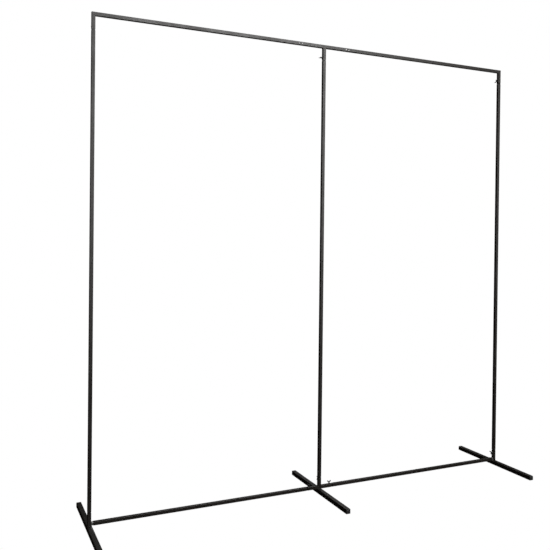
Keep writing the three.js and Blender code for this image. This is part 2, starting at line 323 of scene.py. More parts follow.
def eased(tree, value, low, high, to_low=0.0, to_high=1.0):
    """Maps low..high to to_low..to_high with soft shoulders."""
    sockets = {"Value": value, "From Min": low, "From Max": high, "To Min": to_low, "To Max": to_high}
    return add_node(tree, "ShaderNodeMapRange", sockets, interpolation_type="SMOOTHSTEP").outputs[0]


def calculate(tree, operation, first, second):
    return add_node(tree, "ShaderNodeMath", {0: first, 1: second}, operation=operation).outputs[0]


def blend_colours(tree, factor, low, high):
    return add_node(tree, "ShaderNodeMix", {0: factor, 6: low, 7: high}, data_type="RGBA").outputs[2]


def bumped(tree, height, distance, under=None):
    sockets = {"Height": height, "Distance": distance, "Strength": 1.0}
    if under is not None:
        sockets["Normal"] = under
    return add_node(tree, "ShaderNodeBump", sockets).outputs[0]


def edge_wear(tree, coordinates, scale, amount):
    """Worn corners: the edge attribute, broken up so that the wear comes and goes."""
    edge = add_node(tree, "ShaderNodeAttribute", attribute_name=EDGE).outputs["Fac"]
    cloudy = noise(tree, coordinates, scale, detail=4.0, roughness=0.6)
    patches = eased(tree, cloudy, low=0.40, high=0.66, to_high=amount)
    return calculate(tree, "MULTIPLY", edge, patches)


print("shader helpers ready")

# %% Powder coat, one for each way that a tube runs
COAT_DEEP = (0.0094, 0.0075, 0.0060, 1)
COAT_WORN_THIN = (0.0200, 0.0163, 0.0134, 1)
COAT_RUBBED = (0.034, 0.030, 0.027, 1)
COAT_BURNISHED = (0.051, 0.047, 0.043, 1)


def powder_coat(run):
    material, tree, shader = new_material(f"powder_coat_along_{run.lower()}")
    place = object_coordinates(tree)
    clouds = noise(tree, place, scale=7.0, detail=3.0)
    speckle = noise(tree, place, scale=1900.0)
    lengthwise = stretched(tree, place, run, along=9.0, across=620.0)
    rubbed = eased(tree, noise(tree, lengthwise, scale=1.0, detail=3.0, roughness=0.6), low=0.60, high=0.74)
    where_rubbed = eased(tree, noise(tree, place, scale=2.6), low=0.46, high=0.64)
    marks = calculate(tree, "MULTIPLY", rubbed, where_rubbed)
    worn = edge_wear(tree, place, scale=48.0, amount=0.65)
    tone = calculate(tree, "MULTIPLY_ADD", clouds, 0.7)
    tree.links.new(eased(tree, speckle, low=0.35, high=0.75, to_high=0.35), tone.node.inputs[2])
    colour = blend_colours(tree, tone, COAT_DEEP, COAT_WORN_THIN)
    colour = blend_colours(tree, calculate(tree, "MULTIPLY", marks, 0.5), colour, COAT_RUBBED)
    colour = blend_colours(tree, worn, colour, COAT_BURNISHED)
    gloss = eased(tree, clouds, low=0.3, high=0.7, to_low=0.36, to_high=0.50)
    gloss = calculate(tree, "ADD", gloss, calculate(tree, "MULTIPLY", marks, 0.12))
    gloss = calculate(tree, "SUBTRACT", gloss, calculate(tree, "MULTIPLY", worn, 0.10))
    peel = bumped(tree, noise(tree, place, scale=640.0, roughness=0.45), distance=0.00011)
    scuffs = bumped(tree, marks, distance=0.00002, under=peel)
    tree.links.new(colour, shader.inputs["Base Color"])
    tree.links.new(gloss, shader.inputs["Roughness"])
    tree.links.new(scuffs, shader.inputs["Normal"])
    return material


POWDER_COAT = {run: powder_coat(run) for run in "XYZ"}
print("finishes", [material.name for material in POWDER_COAT.values()])

# %% Zinc plate, drawn along the piece, bright where it is bare and darkened as painted shade where it shows in the joint gaps
BRIGHT_ZINC = {
    "Dull": (0.47, 0.475, 0.48, 1),
    "Bright": (0.66, 0.665, 0.66, 1),
    "Straw": (0.60, 0.57, 0.50, 1),
}
# Dark zinc tones: painted shade for the joint gaps between tubes, where the spigots show.
SHADE_DARKENED_ZINC_TONES = {
    "Dull": (0.014, 0.014, 0.0145, 1),
    "Bright": (0.045, 0.0445, 0.0435, 1),
    "Straw": (0.030, 0.026, 0.020, 1),
}


def zinc_plate(name, run, tones):
    material, tree, shader = new_material(f"{name}_along_{run.lower()}")
    shader.inputs["Metallic"].default_value = 1.0
    place = object_coordinates(tree)
    blotches = noise(tree, place, scale=95.0, detail=4.0, roughness=0.6)
    lengthwise = stretched(tree, place, run, along=25.0, across=2400.0)
    drawn = noise(tree, lengthwise, scale=1.0, detail=3.0, roughness=0.55)
    straw = eased(tree, noise(tree, place, scale=34.0), low=0.52, high=0.72, to_high=0.5)
    brightness = eased(tree, blotches, low=0.35, high=0.65)
    colour = blend_colours(tree, brightness, tones["Dull"], tones["Bright"])
    colour = blend_colours(tree, straw, colour, tones["Straw"])
    gloss = eased(tree, drawn, low=0.3, high=0.7, to_low=0.24, to_high=0.40)
    gloss = calculate(tree, "ADD", gloss, calculate(tree, "MULTIPLY", blotches, 0.08))
    tree.links.new(colour, shader.inputs["Base Color"])
    tree.links.new(gloss, shader.inputs["Roughness"])
    tree.links.new(bumped(tree, drawn, distance=0.000012), shader.inputs["Normal"])
    return material


ZINC_PLATE = {run: zinc_plate("zinc_plate", run, BRIGHT_ZINC) for run in "XYZ"}
# The darkened zinc is painted shade for the joint gaps; the bright zinc is the plate's own colour.
SHADE_DARKENED_ZINC = {run: zinc_plate("greased_zinc", run, SHADE_DARKENED_ZINC_TONES) for run in "XYZ"}
print("finishes", [material.name for material in (*ZINC_PLATE.values(), *SHADE_DARKENED_ZINC.values())])

# %% Moulded plastic of the foot caps
PLASTIC_DEEP = (0.0135, 0.0135, 0.014, 1)
PLASTIC_GREY = (0.026, 0.026, 0.027, 1)
PLASTIC_SCUFFED = (0.095, 0.093, 0.090, 1)


def cap_plastic():
    material, tree, shader = new_material("moulded_cap_plastic")
    place = object_coordinates(tree)
    flow = noise(tree, place, scale=60.0, detail=3.0)
    grain = noise(tree, place, scale=2300.0)
    sideways = stretched(tree, place, "X", along=60.0, across=900.0)
    scratches = noise(tree, sideways, scale=1.0, detail=3.0, roughness=0.6)
    scratched = eased(tree, scratches, low=0.62, high=0.74, to_high=0.35)
    scuffed = edge_wear(tree, place, scale=150.0, amount=0.75)
    colour = blend_colours(tree, eased(tree, flow, low=0.3, high=0.7), PLASTIC_DEEP, PLASTIC_GREY)
    colour = blend_colours(tree, scratched, colour, PLASTIC_SCUFFED)
    colour = blend_colours(tree, scuffed, colour, PLASTIC_SCUFFED)
    gloss = eased(tree, flow, low=0.3, high=0.7, to_low=0.50, to_high=0.64)
    tree.links.new(colour, shader.inputs["Base Color"])
    tree.links.new(gloss, shader.inputs["Roughness"])
    tree.links.new(bumped(tree, grain, distance=0.00003), shader.inputs["Normal"])
    return material


CAP_PLASTIC = cap_plastic()
print("finish", CAP_PLASTIC.name)

# %% Coated casting of the wings
CAST_COAT = (0.016, 0.016, 0.017, 1)
CAST_COAT_GREY = (0.030, 0.030, 0.031, 1)
CAST_BARE = (0.34, 0.335, 0.33, 1)


def coated_casting():
    material, tree, shader = new_material("coated_casting")
    place = object_coordinates(tree)
    mottle = noise(tree, place, scale=420.0, detail=3.0)
    sand = noise(tree, place, scale=1500.0, detail=3.0, roughness=0.6)
    bare = eased(tree, edge_wear(tree, place, scale=260.0, amount=0.9), low=0.35, high=0.75)
    colour = blend_colours(tree, eased(tree, mottle, low=0.3, high=0.7), CAST_COAT, CAST_COAT_GREY)
    colour = blend_colours(tree, bare, colour, CAST_BARE)
    gloss = eased(tree, mottle, low=0.3, high=0.7, to_low=0.38, to_high=0.52)
    tree.links.new(colour, shader.inputs["Base Color"])
    tree.links.new(gloss, shader.inputs["Roughness"])
    tree.links.new(calculate(tree, "MULTIPLY", bare, 0.9), shader.inputs["Metallic"])
    tree.links.new(bumped(tree, sand, distance=0.00004), shader.inputs["Normal"])
    return material


COATED_CASTING = coated_casting()
print("finish", COATED_CASTING.name)

# %% [markdown]
# ## Tools of the workshop
#
# Three jobs return for every piece: run a Geometry Nodes tree and keep its result as a plain mesh, join
# or cut closed shapes, and finish a mesh. Finishing merges doubles, turns faces outwards, marks sharp
# edges and weights the normals by face area, so that a wide flat face stays flat right up to its small
# round corner. Then the piece goes from millimetres to metres and rides its body.

# %% Running trees and modifiers
SOCKET_KINDS = {
    "float": "NodeSocketFloat",
    "int": "NodeSocketInt",
    "geometry": "NodeSocketGeometry",
    "material": "NodeSocketMaterial",
    "object": "NodeSocketObject",
}


def geometry_tree(name, **inputs):
    """A new tree with one geometry output, and a named input for each (kind, value) given."""
    tree = bpy.data.node_groups.new(name, "GeometryNodeTree")
    tree.interface.new_socket("Geometry", in_out="OUTPUT", socket_type="NodeSocketGeometry")
    for label, (kind, value) in inputs.items():
        title = label.replace("_", " ").title()
        socket = tree.interface.new_socket(title, in_out="INPUT", socket_type=SOCKET_KINDS[kind])
        if value is not None:
            socket.default_value = value
    return tree, tree.nodes.new("NodeGroupInput").outputs


def end_tree(tree, geometry, material):
    """Every tree ends the same way: instances are realized, and the finish is set."""
    real = add_node(tree, "GeometryNodeRealizeInstances", {0: geometry}).outputs[0]
    coated = add_node(tree, "GeometryNodeSetMaterial", {"Geometry": real, "Material": material}).outputs[0]
    add_node(tree, "NodeGroupOutput", {0: coated})


def identifier(tree, label):
    """The identifier of a tree's input, which a modifier needs in place of the name."""
    inputs = [item for item in tree.interface.items_tree if item.in_out == "INPUT"]
    return next(item.identifier for item in inputs if item.name == label)


def evaluated(name, mesh, modifiers):
    """Puts modifiers on a holder object, keeps the result as a plain mesh and drops the holder."""
    holder = bpy.data.objects.new(name, mesh)
    bpy.context.scene.collection.objects.link(holder)
    for kind, settings in modifiers:
        modifier = holder.modifiers.new(kind.lower(), kind)
        tree = settings.get("node_group")
        for key, value in settings.items():
            if tree is None or key == "node_group":
                setattr(modifier, key, value)
            else:
                modifier[identifier(tree, key)] = value
    depsgraph = bpy.context.evaluated_depsgraph_get()
    result = bpy.data.meshes.new_from_object(
        holder.evaluated_get(depsgraph), preserve_all_data_layers=True, depsgraph=depsgraph
    )
    bpy.data.objects.remove(holder)
    return result


def grown(name, tree, source=None, more=(), **values):
    """Runs a tree, then any further modifiers."""
    start = source or bpy.data.meshes.new(name)
    settings = {label.replace("_", " ").title(): value for label, value in values.items()}
    return evaluated(name, start, [("NODES", {"node_group": tree, **settings}), *more])


print("trees run on a holder object")


# %% Joining, cutting and finishing
def combined(operation, base, tools):
    """Boolean of closed shapes, all in the same millimetres."""
    holders = []
    modifiers = []
    for number, tool in enumerate(tools):
        holder = bpy.data.objects.new(f"tool_{number}", tool)
        bpy.context.scene.collection.objects.link(holder)
        holders.append(holder)
        settings = {"operation": operation, "object": holder, "solver": "EXACT", "material_mode": "TRANSFER"}
        modifiers.append(("BOOLEAN", settings))
    result = evaluated("boolean", base, modifiers)
    for holder in holders:
        bpy.data.objects.remove(holder)
    return result


def joined(base, *tools):
    return combined("UNION", base, tools)


def cut(base, *tools):
    return combined("DIFFERENCE", base, tools)


SHARP_ANGLE = math.radians(38)
DOUBLES = 1e-4


def finished(mesh):
    """Merged, closed, facing outwards, with clean shading."""
    shape = bmesh.new()
    shape.from_mesh(mesh)
    bmesh.ops.remove_doubles(shape, verts=shape.verts, dist=DOUBLES)
    bmesh.ops.recalc_face_normals(shape, faces=shape.faces)
    shape.to_mesh(mesh)
    shape.free()
    mesh.polygons.foreach_set("use_smooth", [True] * len(mesh.polygons))
    mesh.set_sharp_from_angle(angle=SHARP_ANGLE)
    return evaluated(mesh.name, mesh, [("WEIGHTED_NORMAL", {"mode": "FACE_AREA", "keep_sharp": True})])


def moved(mesh, matrix):
    copy = mesh.copy()
    copy.transform(matrix)
    return copy


def along(direction, start):
    """Turns a shape that runs along +Z so that it runs along a direction from a start point."""
    turn = Z_AXIS.rotation_difference(Vector(direction)).to_matrix().to_4x4()
    return Matrix.Translation(Vector(start)) @ turn


PIECES = []


def add_piece(name, mesh, body, nodes=()):
    """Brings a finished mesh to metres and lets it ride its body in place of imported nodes."""
    mesh.transform(Matrix.Scale(MM, 4))
    mesh.name = name
    piece = bpy.data.objects.new(name, mesh)
    bpy.context.scene.collection.objects.link(piece)
    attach(piece, body)
    if nodes:
        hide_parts(*nodes)
    PIECES.append(piece)
    return piece


def shape_from(name, points, faces, material=None):
    mesh = bpy.data.meshes.new(name)
    mesh.from_pydata([tuple(p) for p in points], [], faces)
    if material is not None:
        mesh.materials.append(material)
    return mesh


def write_edge(mesh, values):
    """Stores how far each vertex lies on a corner, from 0 to 1."""
    attribute = mesh.attributes.get(EDGE) or mesh.attributes.new(EDGE, "FLOAT", "POINT")
    attribute.data.foreach_set("value", np.clip(values, 0, 1).astype(np.float32))


def vertices_of(mesh):
    points = np.zeros(len(mesh.vertices) * 3)
    mesh.vertices.foreach_get("co", points)
    return points.reshape(-1, 3)


print("boolean, finishing and placing ready")

# %% [markdown]
# ## Square tube
#
# Real square tube is rolled from strip and welded into a round, then squeezed square, so its corners are
# always round. It could be an extruded outline with a hole, but then its ends need bevels. Here one
# Geometry Nodes tree sweeps the wall instead: the path is a square with round corners, and the profile is
# the wall seen in a lengthwise cut, with rounded ends. The sweep closes on itself into one watertight
# tube of any size, so posts, rails, feet, spigots and all welded fittings share it.

# %% The tree for square tube
CORNER_STEPS = 6
END_ROUNDING = 0.25


def square_tube_tree():
    tree, given = geometry_tree(
        "square_tube", size=("float", 20.0), wall=("float", 1.2), corner=("float", 2.0),
        length=("float", 100.0), end_rounding=("float", END_ROUNDING), steps=("int", CORNER_STEPS),
        material=("material", None),
    )

    def subtract(first, second):
        return add_node(tree, "ShaderNodeMath", {0: first, 1: second}, operation="SUBTRACT").outputs[0]

    def round_rectangle(width, height, radius):
        sides = {"Width": width, "Height": height}
        outline = add_node(tree, "GeometryNodeCurvePrimitiveQuadrilateral", sides)
        sockets = {"Curve": outline.outputs[0], "Count": given["Steps"], "Radius": radius}
        return add_node(tree, "GeometryNodeFilletCurve", sockets, mode="POLY").outputs[0]

    centreline = subtract(given["Size"], given["Wall"])
    half_wall = add_node(tree, "ShaderNodeMath", {0: given["Wall"], 1: 0.5}, operation="MULTIPLY").outputs[0]
    path = round_rectangle(centreline, centreline, subtract(given["Corner"], half_wall))
    wall = round_rectangle(given["Wall"], given["Length"], given["End Rounding"])
    swept = add_node(tree, "GeometryNodeCurveToMesh", {"Curve": path, "Profile Curve": wall}).outputs[0]
    end_tree(tree, swept, given["Material"])
    return tree


SQUARE_TUBE = square_tube_tree()
print("tree", SQUARE_TUBE.name, "with", len(SQUARE_TUBE.nodes), "nodes")


# %% One tube from the tree
CORNER_WEAR_WIDTH = 0.7
END_WEAR_SLOPE = 1.4
END_WEAR_START = 0.2


def run_letter(direction):
    return "XYZ"[max(range(3), key=lambda axis: abs(direction[axis]))]


def tube(stock, start, direction, length, finishes=None):
    """A square tube from a start point along a direction, with its corners marked."""
    material = (finishes or POWDER_COAT)[run_letter(direction)]
    mesh = grown(
        "tube", SQUARE_TUBE, size=stock["Size"], wall=stock["Wall"], corner=stock["Corner"],
        length=length, end_rounding=END_ROUNDING, steps=CORNER_STEPS, material=material,
    )
    points = vertices_of(mesh)
    flat_end = stock["Size"] / 2 - stock["Corner"]
    on_corner = (np.abs(points[:, :2]).min(1) - flat_end) / (CORNER_WEAR_WIDTH * stock["Corner"])
    past_end = (np.abs(points[:, 2]) - length / 2 + END_ROUNDING) / END_ROUNDING
    write_edge(mesh, np.maximum(on_corner, END_WEAR_SLOPE * past_end - END_WEAR_START))
    mesh.transform(along(direction, start) @ Matrix.Translation((0, 0, length / 2)))
    return mesh


def tube_for(node, stock, finishes=None):
    """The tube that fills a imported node's box, along its longest side."""
    low, high = box_mm(node)
    size = high - low
    run = run_letter(size)
    direction = {"X": X_AXIS, "Y": Y_AXIS, "Z": Z_AXIS}[run]
    start = (low + high) / 2 - direction * size.dot(direction) / 2
    return tube(stock, start, direction, size.dot(direction), finishes)


for side in SIDES:
    add_piece(f"{side}_foot_tube", finished(tube_for(f"foot_bar_{side}", FOOT_TUBE)),
              body_of_node(f"foot_bar_{side}"), [f"foot_bar_{side}"])
    add_piece(f"{side}_lower_post_tube", finished(tube_for(f"lower_post_{side}", TUBE)),
              body_of_node(f"lower_post_{side}"), [f"lower_post_{side}"])
for side in OUTER_SIDES:
    for level in ("top", "bottom"):
        rail_node = f"{level}_rail_{side}"
        add_piece(f"{side}_{level}_rail_tube", finished(tube_for(rail_node, TUBE)),
                  body_of_node(rail_node), [rail_node])
print("plain tubes", len(PIECES), "and", len(PIECES[0].data.polygons), "faces in each")

# %% Plain spigots
PLAIN_SPIGOTS = [f"post_{end}_spigot_{side}" for end in ("foot", "head") for side in SIDES]
PLAIN_SPIGOTS += [f"top_rail_spigot_{side}_{end}" for side in OUTER_SIDES for end in ("inner", "outer")]
PLAIN_SPIGOTS += [f"bottom_rail_spigot_{side}" for side in OUTER_SIDES]
# Loose spigots take the darkened zinc, painted shade for the gaps where they show between tubes.
for node in PLAIN_SPIGOTS:
    add_piece(f"{node}_tube", finished(tube_for(node, SPIGOT, SHADE_DARKENED_ZINC)),
              body_of_node(node), [node])
print("spigots", len(PLAIN_SPIGOTS))

# %% [markdown]
# ## Turned shapes
#
# Drills, buttons, rivets and chamfers are all shapes of revolution. A list of radius and height pairs
# describes each one as a turner would, and the same helper spins it. Points on the axis become single
# poles, so that every turned shape is closed. What isn't round, such as a leaf spring or a cap, is skinned
# over a stack of rings in the same way.


# %% A lathe, a stack and a drill
DRILL_SEGMENTS = 48
DRILL_LEAD = 2


def lathe(name, profile, segments, material=None):
    """Spins (radius, height) pairs about Z. The first and last pairs lie on the axis."""
    points = []
    rings = []
    for radius, height in profile:
        count = 1 if radius == 0 else segments
        rings.append(range(len(points), len(points) + count))
        for k in range(count):
            angle = 2 * math.pi * k / segments
            points.append((radius * math.cos(angle), radius * math.sin(angle), height))
    faces = []
    for lower, upper in zip(rings, rings[1:]):
        for k in range(segments):
            quad = [lower[k % len(lower)], lower[(k + 1) % len(lower)],
                    upper[(k + 1) % len(upper)], upper[k % len(upper)]]
            corners_left = list(dict.fromkeys(quad))
            if len(corners_left) > 2:
                faces.append(corners_left)
    return shape_from(name, points, faces, material)


def arc(centre_radius, centre_height, radius, first_degrees, last_degrees, steps):
    """Points of a lathe profile that follow an arc."""
    found = []
    for k in range(steps + 1):
        angle = math.radians(first_degrees + (last_degrees - first_degrees) * k / steps)
        found.append((centre_radius + radius * math.cos(angle), centre_height + radius * math.sin(angle)))
    return found


def stacked(name, rings, material):
    """Skins a stack of rings of equal size, closed by a face at each end."""
    count = len(rings[0])
    points = [point for ring in rings for point in ring]
    faces = [list(range(count))[::-1], list(range(len(points) - count, len(points)))]
    for level in range(len(rings) - 1):
        for k in range(count):
            here, there = level * count + k, level * count + (k + 1) % count
            faces.append((here, there, there + count, here + count))
    return shape_from(name, points, faces, material)


def drill(radius, depth, chamfer, material):
    """A drill that comes down to -depth, with a chamfer where it enters at height 0."""
    wide = radius + chamfer
    profile = [(0, -depth), (radius, -depth), (radius, -chamfer),
               (wide, 0), (wide, DRILL_LEAD), (0, DRILL_LEAD)]
    return lathe("drill", profile, DRILL_SEGMENTS, material)


print("lathe ready")

# %% [markdown]
# ## Posts and their snap buttons
#
# The upper section of a post has a hole near its lower end. A spring inside the spigot pushes a button
# out through it, and the section can only be lifted off while the button is pressed. The hole is drilled
# with an exact boolean and gets a small chamfer, and the button's head is turned: a short neck under a
# smooth dome. It sits on a leaf of spring steel with rounded ends.

# %% Upper posts and drilled spigots
BUTTON_HOLE_RADIUS = 4.0
BUTTON_HOLE_DEPTH = 6
BUTTON_BELOW_LEAF_TOP = 4.5
HOLE_CHAMFER = 0.3
FRONT = Vector((0, -1, 0))


def button_drill(stock, axis, height, material):
    """The drill of a snap button's hole, entering a tube's front face."""
    face = Vector((axis.x, axis.y - stock["Size"] / 2, height))
    bit = drill(BUTTON_HOLE_RADIUS, BUTTON_HOLE_DEPTH, HOLE_CHAMFER, material)
    return moved(bit, along(FRONT, face))


for side in SIDES:
    button_height = box_mm(f"snap_button_{side}")[1].z - BUTTON_BELOW_LEAF_TOP
    post_axis = middle_mm(f"upper_post_{side}")
    post_drill = button_drill(TUBE, post_axis, button_height, POWDER_COAT["Z"])
    upper = cut(tube_for(f"upper_post_{side}", TUBE), post_drill)
    add_piece(f"{side}_upper_post_tube", finished(upper), f"{side}_post",
              [f"upper_post_{side}"])
    # The drilled middle spigot takes the darkened zinc, painted shade for the joint gap.
    spigot_drill = button_drill(SPIGOT, post_axis, button_height, SHADE_DARKENED_ZINC["Z"])
    drilled = cut(tube_for(f"post_middle_spigot_{side}", SPIGOT, SHADE_DARKENED_ZINC), spigot_drill)
    add_piece(f"post_middle_spigot_{side}_tube", finished(drilled), f"{side}_post",
              [f"post_middle_spigot_{side}"])
print("button holes at", round(button_height, 1), "mm above the floor")

# %% Snap buttons
BUTTON_RADIUS = 3.7
DOME_RADIUS = 2.2
DOME_SINK = 0.8
DOME_STEPS = 8
BUTTON_SEGMENTS = 32
LEAF_THICKNESS = 1.0
LEAF_CORNER_STEPS = 6


def leaf_spring(width, length, thickness, material):
    """A strip with half-round ends, lying in XY with its top at height 0."""
    reach = length / 2 - width / 2
    outline = []
    for end in (1, -1):
        for k in range(2 * LEAF_CORNER_STEPS + 1):
            angle = math.pi * k / (2 * LEAF_CORNER_STEPS)
            outline.append((end * math.cos(angle) * width / 2, end * (reach + math.sin(angle) * width / 2)))
    rings = [[(x, y, height) for x, y in outline] for height in (-thickness, 0)]
    return stacked("leaf", rings, material)


for side in SIDES:
    low, high = box_mm(f"snap_button_{side}")
    leaf_inner = high.y
    head_rise = leaf_inner - low.y
    dome_centre = head_rise - DOME_RADIUS * DOME_SINK
    dome = arc(BUTTON_RADIUS - DOME_RADIUS, dome_centre, DOME_RADIUS, 0, 90, DOME_STEPS)
    dome = [(radius, min(height, head_rise)) for radius, height in dome]
    profile = [(0, LEAF_THICKNESS / 2), (BUTTON_RADIUS, LEAF_THICKNESS / 2), *dome[:-1], (0, head_rise)]
    # The button and its leaf take the same darkened zinc as the spigots, with its painted shade.
    head = lathe("button_head", profile, BUTTON_SEGMENTS, SHADE_DARKENED_ZINC["Z"])
    leaf = leaf_spring(high.x - low.x, high.z - low.z, LEAF_THICKNESS, SHADE_DARKENED_ZINC["Z"])
    leaf.transform(Matrix.Translation((0, (low.z + high.z) / 2 - button_height, LEAF_THICKNESS)))
    button = joined(head, leaf)
    axis = (low + high) / 2
    upright = Matrix((X_AXIS, Z_AXIS, FRONT)).transposed().to_4x4()
    button.transform(Matrix.Translation((axis.x, leaf_inner, button_height)) @ upright)
    add_piece(f"{side}_snap_button", finished(button), f"{side}_button",
              [f"snap_button_{side}"])
print("button stands", round(head_rise, 2), "mm out of its leaf")

# %% [markdown]
# ## Welded fittings
#
# The bases, the tee and the corners are short tubes welded together, with a hexagon weld nut wherever a
# wing screw enters. The tubes and nuts are joined by exact boolean, so that each fitting is one closed
# body as the welded part is, and then bored. The corners start as one straight tube with a ring half way;
# folding that ring to 45 degrees gives a clean mitre all round, inside and outside.

# %% Weld nuts
NUT_FLATS = 10.0
NUT_HEIGHT = 5.0
NUT_CHAMFER_RADIUS = 4.75
NUT_CHAMFER_ANGLE = math.radians(30)
NUT_CHAMFER_SEGMENTS = 72
NUT_WEAR = 0.6
BORE_RADIUS = 3.3
BORE_CHAMFER = 0.45


def hexagon_nut(material):
    """A hexagon with its top corners turned off at 30 degrees, standing on a face at height 0."""
    reach = NUT_FLATS / 2 / math.cos(math.pi / 6)
    outline = [(0, -JOIN_LAP), (reach, -JOIN_LAP), (reach, NUT_HEIGHT), (0, NUT_HEIGHT)]
    prism = lathe("nut", outline, 6, material)
    wide, below = reach + 0.5, -1.5
    slope = (wide - NUT_CHAMFER_RADIUS) * math.tan(NUT_CHAMFER_ANGLE)
    profile = [(0, below), (wide, below), (wide, NUT_HEIGHT - slope),
               (NUT_CHAMFER_RADIUS, NUT_HEIGHT), (0, NUT_HEIGHT)]
    turned = lathe("nut_chamfer", profile, NUT_CHAMFER_SEGMENTS, material)
    nut = combined("INTERSECT", prism, [turned])
    towards_top = (vertices_of(nut)[:, 2] - 0.6 * NUT_HEIGHT) / (0.3 * NUT_HEIGHT)
    write_edge(nut, towards_top * NUT_WEAR)
    return nut


def with_nuts(base, screws):
    """Welds a nut at each screw's place and bores it through into the tube."""
    nut = hexagon_nut(base.materials[0])
    bore = drill(BORE_RADIUS, NUT_HEIGHT + 2 * TUBE["Wall"], BORE_CHAMFER, base.materials[0])
    bore.transform(Matrix.Translation((0, 0, NUT_HEIGHT)))
    nuts = [moved(nut, SCREWS[name]) for name in screws]
    bores = [moved(bore, SCREWS[name]) for name in screws]
    return cut(joined(base, *nuts), *bores)


print("weld nut", NUT_FLATS, "mm over flats")

# %% Bases
FRAME_HALF = TUBE["Size"] / 2
SCREWS_IN = {
    "base_fitting_left": ["base_left"],
    "base_fitting_centre": ["base_centre", "arm_left", "arm_right"],
    "base_fitting_right": ["base_right"],
    "corner_fitting_left": ["corner_left"],
    "tee_fitting": ["tee"],
    "corner_fitting_right": ["corner_right"],
}
INWARD = {"left": 1, "right": -1}
POST_AXIS = {side: middle_mm(f"lower_post_{side}") for side in SIDES}
BASE_BOTTOM = box_mm("base_fitting_centre")[0].z
BASE_TOP = box_mm("base_fitting_centre")[1].z
ARM_END = box_mm("base_fitting_centre")[1].x
ARM_Z = BASE_BOTTOM + FRAME_HALF

socket_foot = Vector((POST_AXIS["centre"].x, POST_AXIS["centre"].y, BASE_BOTTOM))
centre_base = tube(TUBE, socket_foot, Z_AXIS, BASE_TOP - BASE_BOTTOM)
arm_start = FRAME_HALF - JOIN_LAP
arms = []
for way in (-1, 1):
    arm_root = socket_foot + Vector((way * arm_start, 0, FRAME_HALF))
    arms.append(tube(TUBE, arm_root, way * X_AXIS, ARM_END - arm_start))
centre_base = with_nuts(joined(centre_base, *arms), SCREWS_IN["base_fitting_centre"])
add_piece("centre_base_fitting", finished(centre_base), "base", ["base_fitting_centre"])

for side, way in INWARD.items():
    node = f"base_fitting_{side}"
    low, high = box_mm(node)
    spigot_end = high.x if way > 0 else low.x
    foot_point = Vector((POST_AXIS[side].x, POST_AXIS[side].y, BASE_BOTTOM))
    socket = tube(TUBE, foot_point, Z_AXIS, BASE_TOP - BASE_BOTTOM)
    spigot_start = foot_point + Vector((way * arm_start, 0, FRAME_HALF))
    bare_spigot = tube(SPIGOT, spigot_start, way * X_AXIS, abs(spigot_end - spigot_start.x), ZINC_PLATE)
    side_base = with_nuts(joined(socket, bare_spigot), SCREWS_IN[node])
    add_piece(f"{side}_base_fitting", finished(side_base), f"{side}_base", [node])
print("sockets stand", round(BASE_TOP - BASE_BOTTOM, 1), "mm high")

# %% Tee
tee_low, tee_high = box_mm("tee_fitting")
RAIL_Z = tee_high.z - FRAME_HALF
STUB_MOUTH = tee_low.z
tee_start = Vector((tee_low.x, POST_AXIS["centre"].y, RAIL_Z))
tee_arms = tube(TUBE, tee_start, X_AXIS, tee_high.x - tee_low.x)
stub_start = Vector((POST_AXIS["centre"].x, POST_AXIS["centre"].y, STUB_MOUTH))
stub = tube(TUBE, stub_start, Z_AXIS, RAIL_Z - FRAME_HALF + JOIN_LAP - STUB_MOUTH)
add_piece("tee_fitting_welded", finished(with_nuts(joined(tee_arms, stub), SCREWS_IN["tee_fitting"])),
          "top_rail", ["tee_fitting"])
print("tee arms reach", round(tee_high.x, 1), "mm")


# %% Mitred corners
ON_FOLD = 1e-3


def mitred_corner(leg, way):
    """A tube folded at 45 degrees: one leg hangs down, the other runs along X towards way."""
    straight = tube(TUBE, (0, 0, -leg), Z_AXIS, 2 * leg)
    shape = bmesh.new()
    shape.from_mesh(straight)
    everything = shape.verts[:] + shape.edges[:] + shape.faces[:]
    bmesh.ops.bisect_plane(shape, geom=everything, plane_co=(0, 0, 0), plane_no=(0, 0, 1), dist=DOUBLES)
    for point in shape.verts:
        across, run = point.co.x, point.co.z
        if abs(run) < ON_FOLD:
            point.co.z = -across * way
        elif run > 0:
            point.co = (run * way, point.co.y, -across * way)
    bmesh.ops.recalc_face_normals(shape, faces=shape.faces)
    folded = bpy.data.meshes.new("corner")
    shape.to_mesh(folded)
    shape.free()
    folded.materials.append(POWDER_COAT["Z"])
    return folded


for side, way in INWARD.items():
    node = f"corner_fitting_{side}"
    low, high = box_mm(node)
    corner_point = Vector((POST_AXIS[side].x, POST_AXIS[side].y, RAIL_Z))
    folded = moved(mitred_corner(RAIL_Z - low.z, way), Matrix.Translation(corner_point))
    add_piece(f"{side}_corner_fitting", finished(with_nuts(folded, SCREWS_IN[node])),
              f"{side}_corner", [node])
print("corner legs", round(RAIL_Z - low.z, 1), "mm from the axis")

# %% [markdown]
# ## Weld beads
#
# A hand-made weld is a row of small puddles, each frozen half over the one before it, like a fallen stack
# of coins. That is a rule along a path, so Geometry Nodes lay it: the path is cut into equal steps, a
# flattened ball is set across each step with a little random tilt and size, and a fine voxel remesh melts
# the row into one closed bead. Where two tubes are flush, the welder leaves less metal, so each path
# carries its own bead size.

# %% The tree for weld beads
COIN_SEGMENTS = 12
COIN_RINGS = 8
COIN_STEP = 1.25
COIN_RADIUS = 2.0
COIN_THICKNESS = 1.3
COIN_TILT = 0.22
COIN_SPIN = 3.0
COIN_SMALLEST = 0.88
COIN_LARGEST = 1.10


